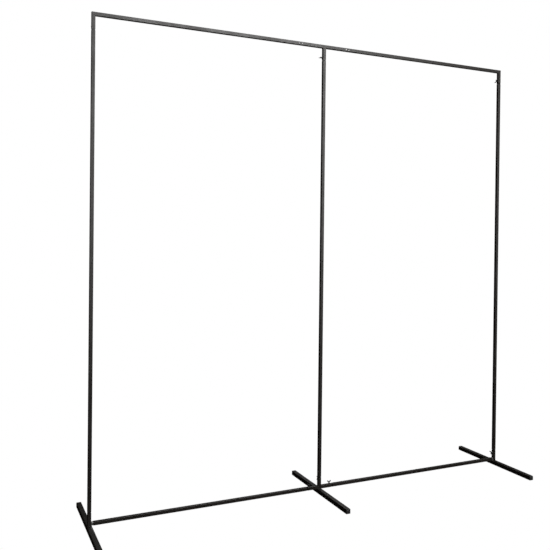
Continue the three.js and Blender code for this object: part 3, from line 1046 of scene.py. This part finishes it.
def weld_bead_tree():
    tree, given = geometry_tree(
        "weld_bead", path=("geometry", None), step=("float", COIN_STEP), coin_radius=("float", COIN_RADIUS),
        coin_thickness=("float", COIN_THICKNESS), seed=("int", 1), material=("material", None),
    )
    curve = add_node(tree, "GeometryNodeMeshToCurve", {0: given["Path"]}).outputs[0]
    steps = add_node(tree, "GeometryNodeResampleCurve",
                     {"Curve": curve, "Length": given["Step"]}, mode="LENGTH")
    ball = add_node(tree, "GeometryNodeMeshUVSphere",
                    {"Segments": COIN_SEGMENTS, "Rings": COIN_RINGS, "Radius": 1.0})
    flat = add_node(tree, "ShaderNodeCombineXYZ",
                    {0: given["Coin Radius"], 1: given["Coin Radius"], 2: given["Coin Thickness"]})
    coin = add_node(tree, "GeometryNodeTransform", {"Geometry": ball.outputs[0], "Scale": flat.outputs[0]})
    tangent = add_node(tree, "GeometryNodeInputTangent").outputs[0]
    facing = add_node(tree, "FunctionNodeAlignRotationToVector", {"Vector": tangent}, axis="Z").outputs[0]
    least, most = (-COIN_TILT, -COIN_TILT, -COIN_SPIN), (COIN_TILT, COIN_TILT, COIN_SPIN)
    tilt = add_node(tree, "FunctionNodeRandomValue",
                    {0: least, 1: most, "Seed": given["Seed"]}, data_type="FLOAT_VECTOR")
    tilted = add_node(tree, "FunctionNodeRotateRotation",
                      {"Rotation": facing, "Rotate By": tilt.outputs[0]}, rotation_space="LOCAL").outputs[0]
    share = add_node(tree, "GeometryNodeInputNamedAttribute", {"Name": "bead"}, data_type="FLOAT").outputs[0]
    vary = add_node(tree, "FunctionNodeRandomValue",
                    {2: COIN_SMALLEST, 3: COIN_LARGEST, "Seed": given["Seed"]}, data_type="FLOAT")
    size = add_node(tree, "ShaderNodeMath", {0: share, 1: vary.outputs[1]}, operation="MULTIPLY").outputs[0]
    coins = add_node(tree, "GeometryNodeInstanceOnPoints", {
        "Points": steps.outputs[0], "Instance": coin.outputs[0], "Rotation": tilted, "Scale": size,
    }).outputs[0]
    end_tree(tree, coins, given["Material"])
    return tree


WELD_BEAD = weld_bead_tree()
print("tree", WELD_BEAD.name, "with", len(WELD_BEAD.nodes), "nodes")


# %% Paths that welds follow
LOOP_CORNER_STEPS = 3
ARC_STEPS = 8


def round_square(half, corner, steps):
    """Points of a square with round corners, the same number for every size."""
    inner = half - corner
    points = []
    for quarter, (sx, sy) in enumerate([(1, -1), (1, 1), (-1, 1), (-1, -1)]):
        for k in range(steps + 1):
            angle = math.pi / 2 * (quarter - 1 + k / steps)
            points.append((sx * inner + corner * math.cos(angle), sy * inner + corner * math.sin(angle)))
    return points


def square_loop(half, corner, bead, flush_bead=None):
    """A square path with round corners in XY, with a smaller bead on the two flush sides at +-Y."""
    points = [Vector((x, y, 0)) for x, y in round_square(half, corner, LOOP_CORNER_STEPS)]
    sizes = []
    for point in points:
        on_flush = abs(point.y) > abs(point.x)
        sizes.append(flush_bead if flush_bead and on_flush else bead)
    return points, sizes


def arc_path(radius, first_degrees, last_degrees, bead):
    points = [Vector((x, y, 0)) for x, y in arc(0, 0, radius, first_degrees, last_degrees, ARC_STEPS)]
    return points, [bead] * len(points)


def placed_path(path, matrix, closed=True):
    points, sizes = path
    return [matrix @ point for point in points], sizes, closed


def path_mesh(paths):
    """All paths of one fitting as a mesh of edges, with the bead sizes on its points."""
    points = []
    edges = []
    sizes = []
    for path_points, path_sizes, closed in paths:
        first = len(points)
        count = len(path_points)
        points += path_points
        sizes += path_sizes
        edges += [(first + k, first + k + 1) for k in range(count - 1)]
        if closed:
            edges.append((first + count - 1, first))
    mesh = bpy.data.meshes.new("weld_paths")
    mesh.from_pydata([tuple(p) for p in points], edges, [])
    mesh.attributes.new("bead", "FLOAT", "POINT").data.foreach_set("value", sizes)
    return mesh


NUT_WELD_RADIUS = 5.7
NUT_WELD_BEAD = 0.62
NUT_WELD_STARTS = (-50, 130)
NUT_WELD_SWEEP = 100


def nut_welds(screws):
    """Two short beads on opposite sides of each nut."""
    found = []
    for name in screws:
        for first in NUT_WELD_STARTS:
            path = arc_path(NUT_WELD_RADIUS, first, first + NUT_WELD_SWEEP, NUT_WELD_BEAD)
            found.append(placed_path(path, SCREWS[name], closed=False))
    return found


print("a nut's beads lie", NUT_WELD_RADIUS, "mm from its axis")

# %% Laying the beads
BEAD_VOXEL = 0.42
MELT = [
    ("REMESH", {"mode": "VOXEL", "voxel_size": BEAD_VOXEL}),
    ("SMOOTH", {"factor": 0.5, "iterations": 2}),
]
BEAD_WEAR = 0.25
FOOT_BEAD = 0.95
FOOT_BEAD_LIFT = 0.2
ARM_BEAD = 0.8
STUB_BEAD = 0.9
STUB_FLUSH_BEAD = 0.42
STUB_BEAD_SINK = 0.1
MITRE_BEAD = 0.36
MITRE_BEAD_SINK = 0.35
BASE_WELD_SEED = 11
TEE_WELD_SEED = 21
CORNER_WELD_SEED = 31
SPIGOT_HALF = SPIGOT["Size"] / 2
ARM_SECTION = Matrix.Rotation(math.pi / 2, 4, "Y")


def lay_beads(name, body, paths, seed):
    """Beads along the paths of one fitting. The remesh drops the finish, so it is set again."""
    mesh = grown(name, WELD_BEAD, source=path_mesh(paths), more=MELT, step=COIN_STEP,
                 coin_radius=COIN_RADIUS, coin_thickness=COIN_THICKNESS, seed=seed, material=POWDER_COAT["Z"])
    mesh.materials.clear()
    mesh.materials.append(POWDER_COAT["Z"])
    write_edge(mesh, np.full(len(mesh.vertices), BEAD_WEAR))
    mesh.polygons.foreach_set("use_smooth", [True] * len(mesh.polygons))
    return add_piece(name, mesh, body)


bead_faces = 0
for number, side in enumerate(SIDES):
    axis = POST_AXIS[side]
    foot_point = Matrix.Translation((axis.x, axis.y, BASE_BOTTOM + FOOT_BEAD_LIFT))
    foot_loop = placed_path(square_loop(FRAME_HALF, TUBE["Corner"], FOOT_BEAD), foot_point)
    paths = [foot_loop, *nut_welds(SCREWS_IN[f"base_fitting_{side}"])]
    if side == "centre":
        ways = (-1, 1)
        section = square_loop(FRAME_HALF, TUBE["Corner"], ARM_BEAD)
    else:
        ways = (INWARD[side],)
        section = square_loop(SPIGOT_HALF, SPIGOT["Corner"], ARM_BEAD)
    for way in ways:
        root = Matrix.Translation((axis.x + way * FRAME_HALF, axis.y, ARM_Z)) @ ARM_SECTION
        paths.append(placed_path(section, root))
    body = body_of_node(f"base_fitting_{side}")
    beads = lay_beads(f"{side}_base_welds", body, paths, BASE_WELD_SEED + number)
    bead_faces += len(beads.data.polygons)

stub_top = Vector((POST_AXIS["centre"].x, POST_AXIS["centre"].y, RAIL_Z - FRAME_HALF))
stub_path = square_loop(FRAME_HALF - STUB_BEAD_SINK, TUBE["Corner"], STUB_BEAD, STUB_FLUSH_BEAD)
stub_loop = placed_path(stub_path, Matrix.Translation(stub_top))
beads = lay_beads("tee_welds", "top_rail", [stub_loop, *nut_welds(["tee"])], TEE_WELD_SEED)
bead_faces += len(beads.data.polygons)

for number, (side, way) in enumerate(INWARD.items()):
    mitre = Matrix(((1, 0, 0, 0), (0, 1, 0, 0), (-way, 0, 0, 0), (0, 0, 0, 1)))
    corner_point = Matrix.Translation((POST_AXIS[side].x, POST_AXIS[side].y, RAIL_Z))
    mitre_path = square_loop(FRAME_HALF - MITRE_BEAD_SINK, TUBE["Corner"], MITRE_BEAD)
    paths = [placed_path(mitre_path, corner_point @ mitre), *nut_welds([f"corner_{side}"])]
    beads = lay_beads(f"{side}_corner_welds", f"{side}_corner", paths, CORNER_WELD_SEED + number)
    bead_faces += len(beads.data.polygons)
print("weld beads have", bead_faces, "faces together")

# %% [markdown]
# ## Foot caps
#
# Each end of a foot is closed by a moulded cap: a pillow-shaped crown with a small lip against the tube,
# and a hollow plug whose thin fins grip inside. The crown is a stack of rounded squares that shrink along
# a superellipse, which stays full and then turns over quickly, as a moulding does. The fins repeat along
# the plug, so a small tree sets them out.

# %% Crown of a foot cap
CAP_RINGS = 16
CAP_FULLNESS = 2.7
CAP_FLAT_TIP = 0.9985
CAP_CORNER_GROWTH = 2.4
CAP_LIP = 1.1
LIP_ROUNDING = 0.35
CAP_CORNER_STEPS = 5


def square_ring(half, corner, height):
    return [(x, y, height) for x, y in round_square(half, corner, CAP_CORNER_STEPS)]


def cap_crown(half, corner, height):
    rings = [
        square_ring(half - LIP_ROUNDING, corner, 0.0),
        square_ring(half, corner, LIP_ROUNDING),
        square_ring(half, corner, CAP_LIP),
    ]
    for k in range(1, CAP_RINGS + 1):
        rise = math.sin(math.pi / 2 * k / CAP_RINGS)
        width = (1 - CAP_FLAT_TIP * rise ** CAP_FULLNESS) ** (1 / CAP_FULLNESS)
        ring_half = half * width
        ring_corner = min(ring_half * 0.96, corner + CAP_CORNER_GROWTH * rise)
        rings.append(square_ring(ring_half, ring_corner, CAP_LIP + (height - CAP_LIP) * rise))
    mesh = stacked("cap_crown", rings, CAP_PLASTIC)
    points = vertices_of(mesh)
    on_corner = (np.abs(points[:, :2]).min(1) - (half - corner) * 0.86) / corner
    write_edge(mesh, on_corner + 0.25 * (points[:, 2] / height) ** 3)
    return mesh


print("a cap's crown has", CAP_RINGS + 3, "rings")

# %% Fins of the plug
FIN_THICKNESS = 0.8
FIN_CORNER = 1.2
FIN_CORNER_STEPS = 4
FIN_PITCH = 4.2
FIN_COUNT = 4


def fin_tree():
    tree, given = geometry_tree(
        "plug_fins", size=("float", 21.4), corner=("float", FIN_CORNER), thickness=("float", FIN_THICKNESS),
        pitch=("float", FIN_PITCH), count=("int", FIN_COUNT), material=("material", None),
    )
    outline = add_node(tree, "GeometryNodeCurvePrimitiveQuadrilateral",
                       {"Width": given["Size"], "Height": given["Size"]}).outputs[0]
    rounded = add_node(tree, "GeometryNodeFilletCurve",
                       {"Curve": outline, "Count": FIN_CORNER_STEPS, "Radius": given["Corner"]},
                       mode="POLY").outputs[0]
    plate = add_node(tree, "GeometryNodeFillCurve", {0: rounded}, mode="NGONS").outputs[0]
    deep = add_node(tree, "ShaderNodeCombineXYZ", {2: given["Thickness"]}).outputs[0]
    upper = add_node(tree, "GeometryNodeTransform", {"Geometry": plate, "Translation": deep}).outputs[0]
    through = add_node(tree, "GeometryNodeCurvePrimitiveLine", {"End": deep}).outputs[0]
    side_wall = add_node(tree, "GeometryNodeCurveToMesh",
                         {"Curve": through, "Profile Curve": rounded}).outputs[0]
    closed = add_node(tree, "GeometryNodeJoinGeometry")
    for part in (plate, upper, side_wall):
        tree.links.new(part, closed.inputs[0])
    fin = add_node(tree, "GeometryNodeMergeByDistance", {0: closed.outputs[0], "Distance": 0.01}).outputs[0]
    step = add_node(tree, "ShaderNodeCombineXYZ", {2: given["Pitch"]}).outputs[0]
    row = add_node(tree, "GeometryNodeMeshLine", {"Count": given["Count"], "Offset": step}).outputs[0]
    fins = add_node(tree, "GeometryNodeInstanceOnPoints", {"Points": row, "Instance": fin}).outputs[0]
    end_tree(tree, fins, given["Material"])
    return tree


PLUG_FINS = fin_tree()
print("tree", PLUG_FINS.name, "with", len(PLUG_FINS.nodes), "nodes")

# %% Six foot caps
PLUG_LENGTH = 18.0
PLUG_WALL = 2.0
PLUG_CORNER = 1.5
PLUG_GAP = 1.6
PLUG_TAPER = 0.6
PLUG_TAPER_LENGTH = 0.8
PLUG_FLOOR = 1.5
FIN_CLEARANCE = 0.5
FIRST_FIN = 1.4

foot_inside = FOOT_TUBE["Size"] - 2 * FOOT_TUBE["Wall"]
cap_node_low, cap_node_high = box_mm("foot_cap_centre_front")
CAP_LENGTH = cap_node_high.y - cap_node_low.y
CROWN_HEIGHT = CAP_LENGTH - PLUG_LENGTH

fins = grown("fins", PLUG_FINS, size=foot_inside - FIN_CLEARANCE, corner=FIN_CORNER,
             thickness=FIN_THICKNESS, pitch=FIN_PITCH, count=FIN_COUNT, material=CAP_PLASTIC)
fins.transform(Matrix.Translation((0, 0, -PLUG_LENGTH + FIRST_FIN)))
plug_half = foot_inside / 2 - PLUG_GAP
plug = stacked("plug", [
    square_ring(plug_half - PLUG_TAPER, PLUG_CORNER, -PLUG_LENGTH),
    square_ring(plug_half, PLUG_CORNER, -PLUG_LENGTH + PLUG_TAPER_LENGTH),
    square_ring(plug_half, PLUG_CORNER, JOIN_LAP),
], CAP_PLASTIC)
hollow = stacked("hollow", [
    square_ring(plug_half - PLUG_WALL, PLUG_CORNER, -PLUG_LENGTH - 1),
    square_ring(plug_half - PLUG_WALL, PLUG_CORNER, -PLUG_FLOOR),
], CAP_PLASTIC)
crown = cap_crown(FOOT_TUBE["Size"] / 2, FOOT_TUBE["Corner"], CROWN_HEIGHT)
cap = joined(crown, cut(joined(plug, fins), hollow))
CAP_WAYS = {"front": -1, "rear": 1}
for side in SIDES:
    for end, way in CAP_WAYS.items():
        node = f"foot_cap_{side}_{end}"
        low, high = box_mm(node)
        centre = (low + high) / 2
        tip = low.y if way < 0 else high.y
        seat = Vector((centre.x, tip - way * CROWN_HEIGHT, centre.z))
        add_piece(f"{side}_{end}_foot_cap", finished(moved(cap, along(way * Y_AXIS, seat))),
                  body_of_node(node), [node])
print("caps are", round(CAP_LENGTH, 1), "mm long, with a crown of", round(CROWN_HEIGHT, 1))

# %% [markdown]
# ## Studs with real thread
#
# A wing screw is an M6 stud with a pitch of 1 mm, cast into a winged head. The thread could be a helix
# swept along a curve, but then its flanks would have to be welded to a core. It is simpler to let a rod
# breathe: a Geometry Nodes tree makes a fine rod, and each vertex moves in or out by its height less its
# turn about the axis, which is exactly the rule of a screw. Both ends are turned down to a cone.

# %% The tree for threaded rod
THREAD_PITCH = 1.0
THREAD_DEPTH = 0.58
FLANK_START = 0.22
FLANK_END = 0.88
RINGS_PER_TURN = 10
STUD_RADIUS = 3.0
STUD_CONE = 0.75
STUD_SEGMENTS = 28


def threaded_rod_tree():
    tree, given = geometry_tree(
        "threaded_rod", radius=("float", STUD_RADIUS), pitch=("float", THREAD_PITCH),
        depth=("float", THREAD_DEPTH), start=("float", 0.0), end=("float", 13.0), rings=("int", 130),
        segments=("int", STUD_SEGMENTS), material=("material", None),
    )

    def sum_of(operation, first, second):
        return calculate(tree, operation, first, second)

    low_end = add_node(tree, "ShaderNodeCombineXYZ", {2: given["Start"]}).outputs[0]
    high_end = add_node(tree, "ShaderNodeCombineXYZ", {2: given["End"]}).outputs[0]
    line = add_node(tree, "GeometryNodeCurvePrimitiveLine", {"Start": low_end, "End": high_end}).outputs[0]
    fine = add_node(tree, "GeometryNodeResampleCurve", {"Curve": line, "Count": given["Rings"]}).outputs[0]
    ring = add_node(tree, "GeometryNodeCurvePrimitiveCircle",
                    {"Resolution": given["Segments"], "Radius": given["Radius"]}).outputs[0]
    rod = add_node(tree, "GeometryNodeCurveToMesh",
                   {"Curve": fine, "Profile Curve": ring, "Fill Caps": True}).outputs[0]
    position = add_node(tree, "GeometryNodeInputPosition").outputs[0]
    x, y, z = add_node(tree, "ShaderNodeSeparateXYZ", {0: position}).outputs
    turn = sum_of("ARCTAN2", y, x)
    turns = sum_of("DIVIDE", turn, 2 * math.pi)
    phase = sum_of("FRACT", sum_of("SUBTRACT", sum_of("DIVIDE", z, given["Pitch"]), turns), 0.0)
    from_root = sum_of("MULTIPLY", sum_of("ABSOLUTE", sum_of("SUBTRACT", phase, 0.5), 0.0), 2.0)
    flank = add_node(tree, "ShaderNodeMapRange",
                     {"Value": from_root, "From Min": FLANK_START, "From Max": FLANK_END}).outputs[0]
    groove = sum_of("MULTIPLY", sum_of("SUBTRACT", 1.0, flank), given["Depth"])
    threaded = sum_of("SUBTRACT", given["Radius"], groove)
    cone = sum_of("SUBTRACT", given["Radius"], STUD_CONE)
    from_start = sum_of("ADD", cone, sum_of("SUBTRACT", z, given["Start"]))
    from_end = sum_of("ADD", cone, sum_of("SUBTRACT", given["End"], z))
    radius = sum_of("MINIMUM", threaded, sum_of("MINIMUM", from_start, from_end))
    target = add_node(tree, "ShaderNodeCombineXYZ", {
        0: sum_of("MULTIPLY", radius, sum_of("COSINE", turn, 0.0)),
        1: sum_of("MULTIPLY", radius, sum_of("SINE", turn, 0.0)),
        2: z,
    }).outputs[0]
    threads = add_node(tree, "GeometryNodeSetPosition", {"Geometry": rod, "Position": target}).outputs[0]
    end_tree(tree, threads, given["Material"])
    return tree


THREADED_ROD = threaded_rod_tree()
print("tree", THREADED_ROD.name, "with", len(THREADED_ROD.nodes), "nodes")


# %% Eight studs
def extent_along(node, matrix):
    """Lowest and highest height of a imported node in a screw's own frame."""
    to_local = matrix.inverted()
    heights = [(to_local @ (v.co / MM)).z for v in frame["nodes"][node].data.vertices]
    return min(heights), max(heights)


for name, matrix in SCREWS.items():
    stud_start, stud_end = extent_along(f"wing_stud_{name}", matrix)
    rings = int((stud_end - stud_start) / THREAD_PITCH * RINGS_PER_TURN)
    stud = grown("stud", THREADED_ROD, radius=STUD_RADIUS, pitch=THREAD_PITCH, depth=THREAD_DEPTH,
                 start=stud_start, end=stud_end, rings=rings, segments=STUD_SEGMENTS,
                 material=ZINC_PLATE[run_letter(matrix.col[2])])
    stud.transform(matrix)
    add_piece(f"{name}_stud_thread", finished(stud), f"{name}_stud",
              [f"wing_stud_{name}"])
print("studs run from", round(stud_start, 2), "to", round(stud_end, 2), "mm")

# %% [markdown]
# ## Winged heads
#
# The head is a small die casting: a tapered hub with two ears. Castings have no sharp inside corners, so
# the hub and both ears are first set into each other as plain closed shapes. A voxel remesh then fuses
# them, smoothing melts the joints into fillets, and the bore is drilled last so that it stays crisp. The
# edge attribute follows the rims of the ears, where fingers wear the coat away.

# %% Outline of an ear
HUB_BOTTOM = 8.0
HUB_TOP = 14.0
HUB_RADIUS = 4.6
EAR_STEPS = 10
EAR_THICK_ROOT = 3.0
EAR_THICK_TIP = 2.1
EAR_REACH = 12.5


def bend(start, pull, end, steps):
    """Points of a quadratic curve after its start."""
    found = []
    for k in range(1, steps + 1):
        t = k / steps
        near, middle, far = (1 - t) ** 2, 2 * t * (1 - t), t * t
        found.append(tuple(near * a + middle * b + far * c for a, b, c in zip(start, pull, end)))
    return found


def ear_outline(top):
    """Out from the hub's foot, up round the tip and back down to the hub's top."""
    outline = [(0.5, HUB_BOTTOM + 0.8), (HUB_RADIUS, HUB_BOTTOM + 0.8)]
    bends = [
        ((EAR_REACH - 2, HUB_BOTTOM + 3), (EAR_REACH, top - 4)),
        ((EAR_REACH + 0.4, top), (EAR_REACH - 3, top)),
        ((EAR_REACH - 6, top), (EAR_REACH - 7.5, top - 4)),
        ((3.9, HUB_TOP), (0.5, HUB_TOP - 1)),
    ]
    for pull, end in bends:
        outline += bend(outline[-1], pull, end, EAR_STEPS)
    return outline


def ear(top):
    """A closed plate in the XZ plane, thinner towards its tip."""
    outline = ear_outline(top)
    count = len(outline)
    points = []
    for way in (-1, 1):
        for x, z in outline:
            thickness = EAR_THICK_ROOT + (EAR_THICK_TIP - EAR_THICK_ROOT) * min(1, x / EAR_REACH)
            points.append((x, way * thickness / 2, z))
    faces = [list(range(count)), list(range(count, 2 * count))[::-1]]
    faces += [(k, k + count, (k + 1) % count + count, (k + 1) % count) for k in range(count)]
    return shape_from("ear", points, faces, COATED_CASTING)


ear_top = max(extent_along(f"wing_head_{name}", matrix)[1] for name, matrix in SCREWS.items())
print("ears rise to", round(ear_top, 2), "mm above the face")


# %% One casting, copied to eight places
HEAD_SEGMENTS = 40
HEAD_BORE_DEPTH = 12.3
HEAD_VOXEL = 0.27
HEAD_MELT = [
    ("REMESH", {"mode": "VOXEL", "voxel_size": HEAD_VOXEL}),
    ("SMOOTH", {"factor": 0.5, "iterations": 7}),
]


def merged_copy(meshes):
    """Several closed shapes in one mesh, each facing outwards."""
    shape = bmesh.new()
    for mesh in meshes:
        shape.from_mesh(mesh)
    bmesh.ops.recalc_face_normals(shape, faces=shape.faces)
    result = bpy.data.meshes.new("merged")
    shape.to_mesh(result)
    shape.free()
    result.materials.append(meshes[0].materials[0])
    return result


def winged_head():
    hub_profile = [(0, HUB_BOTTOM), (4.5, HUB_BOTTOM), (4.8, HUB_BOTTOM + 0.4), (4.1, HUB_TOP - 0.8),
                   (3.3, HUB_TOP), (1.2, HUB_TOP + 0.25), (0, HUB_TOP + 0.25)]
    hub = lathe("hub", hub_profile, HEAD_SEGMENTS, COATED_CASTING)
    ears = [ear(ear_top), moved(ear(ear_top), Matrix.Rotation(math.pi, 4, "Z"))]
    melted = evaluated("head", merged_copy([hub, *ears]), HEAD_MELT)
    points = vertices_of(melted)
    normals = np.zeros(len(melted.vertices) * 3)
    melted.vertices.foreach_get("normal", normals)
    rim = 1 - np.abs(normals.reshape(-1, 3)[:, 1])
    outside_hub = np.clip((np.hypot(points[:, 0], points[:, 1]) - HUB_RADIUS) / 1.5, 0, 1)
    write_edge(melted, (rim * 1.5 - 0.3) * outside_hub)
    bore_profile = [(0, HUB_BOTTOM - DRILL_LEAD), (BORE_RADIUS, HUB_BOTTOM - DRILL_LEAD),
                    (BORE_RADIUS, HEAD_BORE_DEPTH - 0.6), (0, HEAD_BORE_DEPTH)]
    return cut(melted, lathe("bore", bore_profile, HEAD_SEGMENTS, COATED_CASTING))


casting = winged_head()
for name, matrix in SCREWS.items():
    add_piece(f"{name}_wing_casting", finished(moved(casting, matrix)), f"{name}_wing",
              [f"wing_head_{name}"])
print("a casting has", len(casting.polygons), "faces")

# %% [markdown]
# ## Rivets
#
# One end of every loose spigot is fixed in its own tube by a blind rivet, so that it can't get lost. A
# blind rivet shows a low dome with a small dimple where its pin broke off. The head is turned once, and
# a Geometry Nodes tree sets it on each point along the stored outward direction, with a seeded random
# spin, one set of rivets for each body.

# %% One rivet head
RIVET_RADIUS = 3.2
RIVET_RISE = 1.05
RIVET_DIMPLE = 0.95
RIVET_SEGMENTS = 24
RIVET_SPIN = 3.1
RIVET_SEED = 51


def rivet_head():
    dome = []
    for degrees in range(10, 71, 10):
        angle = math.radians(degrees)
        dome.append((RIVET_RADIUS * math.cos(angle), RIVET_RISE * math.sin(angle)))
    profile = [(0, -0.1), (RIVET_RADIUS - 0.12, -0.1), (RIVET_RADIUS, 0.06), *dome,
               (RIVET_DIMPLE, RIVET_RISE), (RIVET_DIMPLE - 0.25, RIVET_RISE - 0.5), (0, RIVET_RISE - 0.42)]
    head = finished(lathe("rivet_head", profile, RIVET_SEGMENTS))
    holder = bpy.data.objects.new("rivet_head", head)
    bpy.context.scene.collection.objects.link(holder)
    return holder


def rivet_tree():
    tree, given = geometry_tree(
        "rivets", points=("geometry", None), rivet=("object", None), seed=("int", 5),
        material=("material", None),
    )
    head = add_node(tree, "GeometryNodeObjectInfo",
                    {"Object": given["Rivet"], "As Instance": True}).outputs["Geometry"]
    outward = add_node(tree, "GeometryNodeInputNamedAttribute",
                       {"Name": "outward"}, data_type="FLOAT_VECTOR").outputs[0]
    facing = add_node(tree, "FunctionNodeAlignRotationToVector", {"Vector": outward}, axis="Z").outputs[0]
    spin = add_node(tree, "FunctionNodeRandomValue",
                    {0: (0.0, 0.0, -RIVET_SPIN), 1: (0.0, 0.0, RIVET_SPIN), "Seed": given["Seed"]},
                    data_type="FLOAT_VECTOR")
    turned = add_node(tree, "FunctionNodeRotateRotation",
                      {"Rotation": facing, "Rotate By": spin.outputs[0]}, rotation_space="LOCAL").outputs[0]
    heads = add_node(tree, "GeometryNodeInstanceOnPoints",
                     {"Points": given["Points"], "Instance": head, "Rotation": turned}).outputs[0]
    end_tree(tree, heads, given["Material"])
    return tree


RIVET_HEAD = rivet_head()
RIVETS = rivet_tree()
print("rivet head", 2 * RIVET_RADIUS, "mm across")

# %% Where the rivets go
RIVET_INSET = 14.0
RAIL_RIVET_INSET = 11.0


def on_face(node, face, height=None, x=None):
    """A point in the middle of a tube's front or rear face, and the direction that the face looks in."""
    centre = middle_mm(node)
    spot = Vector((centre.x if x is None else x, centre.y, centre.z if height is None else height))
    return spot + face * FRAME_HALF, face


REAR = -FRONT
rivet_places = {}
for side in SIDES:
    lower_low, lower_high = box_mm(f"lower_post_{side}")
    upper_high = box_mm(f"upper_post_{side}")[1]
    rivet_places[f"{side}_post"] = [
        on_face(f"lower_post_{side}", REAR, lower_low.z + RIVET_INSET),
        on_face(f"lower_post_{side}", REAR, lower_high.z - RIVET_INSET),
        on_face(f"upper_post_{side}", REAR, upper_high.z - RIVET_INSET),
    ]
rivet_places["top_rail"] = []
rivet_places["base"] = []
for side in OUTER_SIDES:
    way = -INWARD[side]
    rail_low, rail_high = box_mm(f"top_rail_{side}")
    inner_end, outer_end = (rail_high.x, rail_low.x) if way < 0 else (rail_low.x, rail_high.x)
    tee_end = tee_low.x if way < 0 else tee_high.x
    rivet_places["top_rail"] += [
        on_face("tee_fitting", FRONT, RAIL_Z, tee_end - way * RAIL_RIVET_INSET),
        on_face(f"top_rail_{side}", FRONT, RAIL_Z, inner_end + way * RAIL_RIVET_INSET),
        on_face(f"top_rail_{side}", REAR, RAIL_Z, outer_end - way * RAIL_RIVET_INSET),
    ]
    low, high = box_mm(f"bottom_rail_{side}")
    start_x = high.x if way < 0 else low.x
    rivet_places["base"].append(on_face(f"bottom_rail_{side}", REAR, None, start_x + way * RIVET_INSET))

for number, (body, places) in enumerate(rivet_places.items()):
    spots = bpy.data.meshes.new("rivet_points")
    spots.from_pydata([tuple(spot) for spot, face in places], [], [])
    outwards = spots.attributes.new("outward", "FLOAT_VECTOR", "POINT")
    outwards.data.foreach_set("vector", [c for spot, face in places for c in face])
    mesh = grown("rivets", RIVETS, source=spots, rivet=RIVET_HEAD, seed=RIVET_SEED + number,
                 material=ZINC_PLATE["Y"])
    mesh.polygons.foreach_set("use_smooth", [True] * len(mesh.polygons))
    add_piece(f"{body}_rivets", mesh, body)
bpy.data.objects.remove(RIVET_HEAD)
print("rivets", sum(len(places) for places in rivet_places.values()))

# %% Compare sizes and finish
VISUAL_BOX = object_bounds()
triangles = sum(len(face.vertices) - 2 for piece in PIECES for face in piece.data.polygons)
print("pieces", len(PIECES), "triangles", triangles)
grown_by = [tuple(round((a - b) / MM, 2) for a, b in zip(v, c)) for v, c in zip(VISUAL_BOX, CAD_BOX)]
print("grown by mm", grown_by)
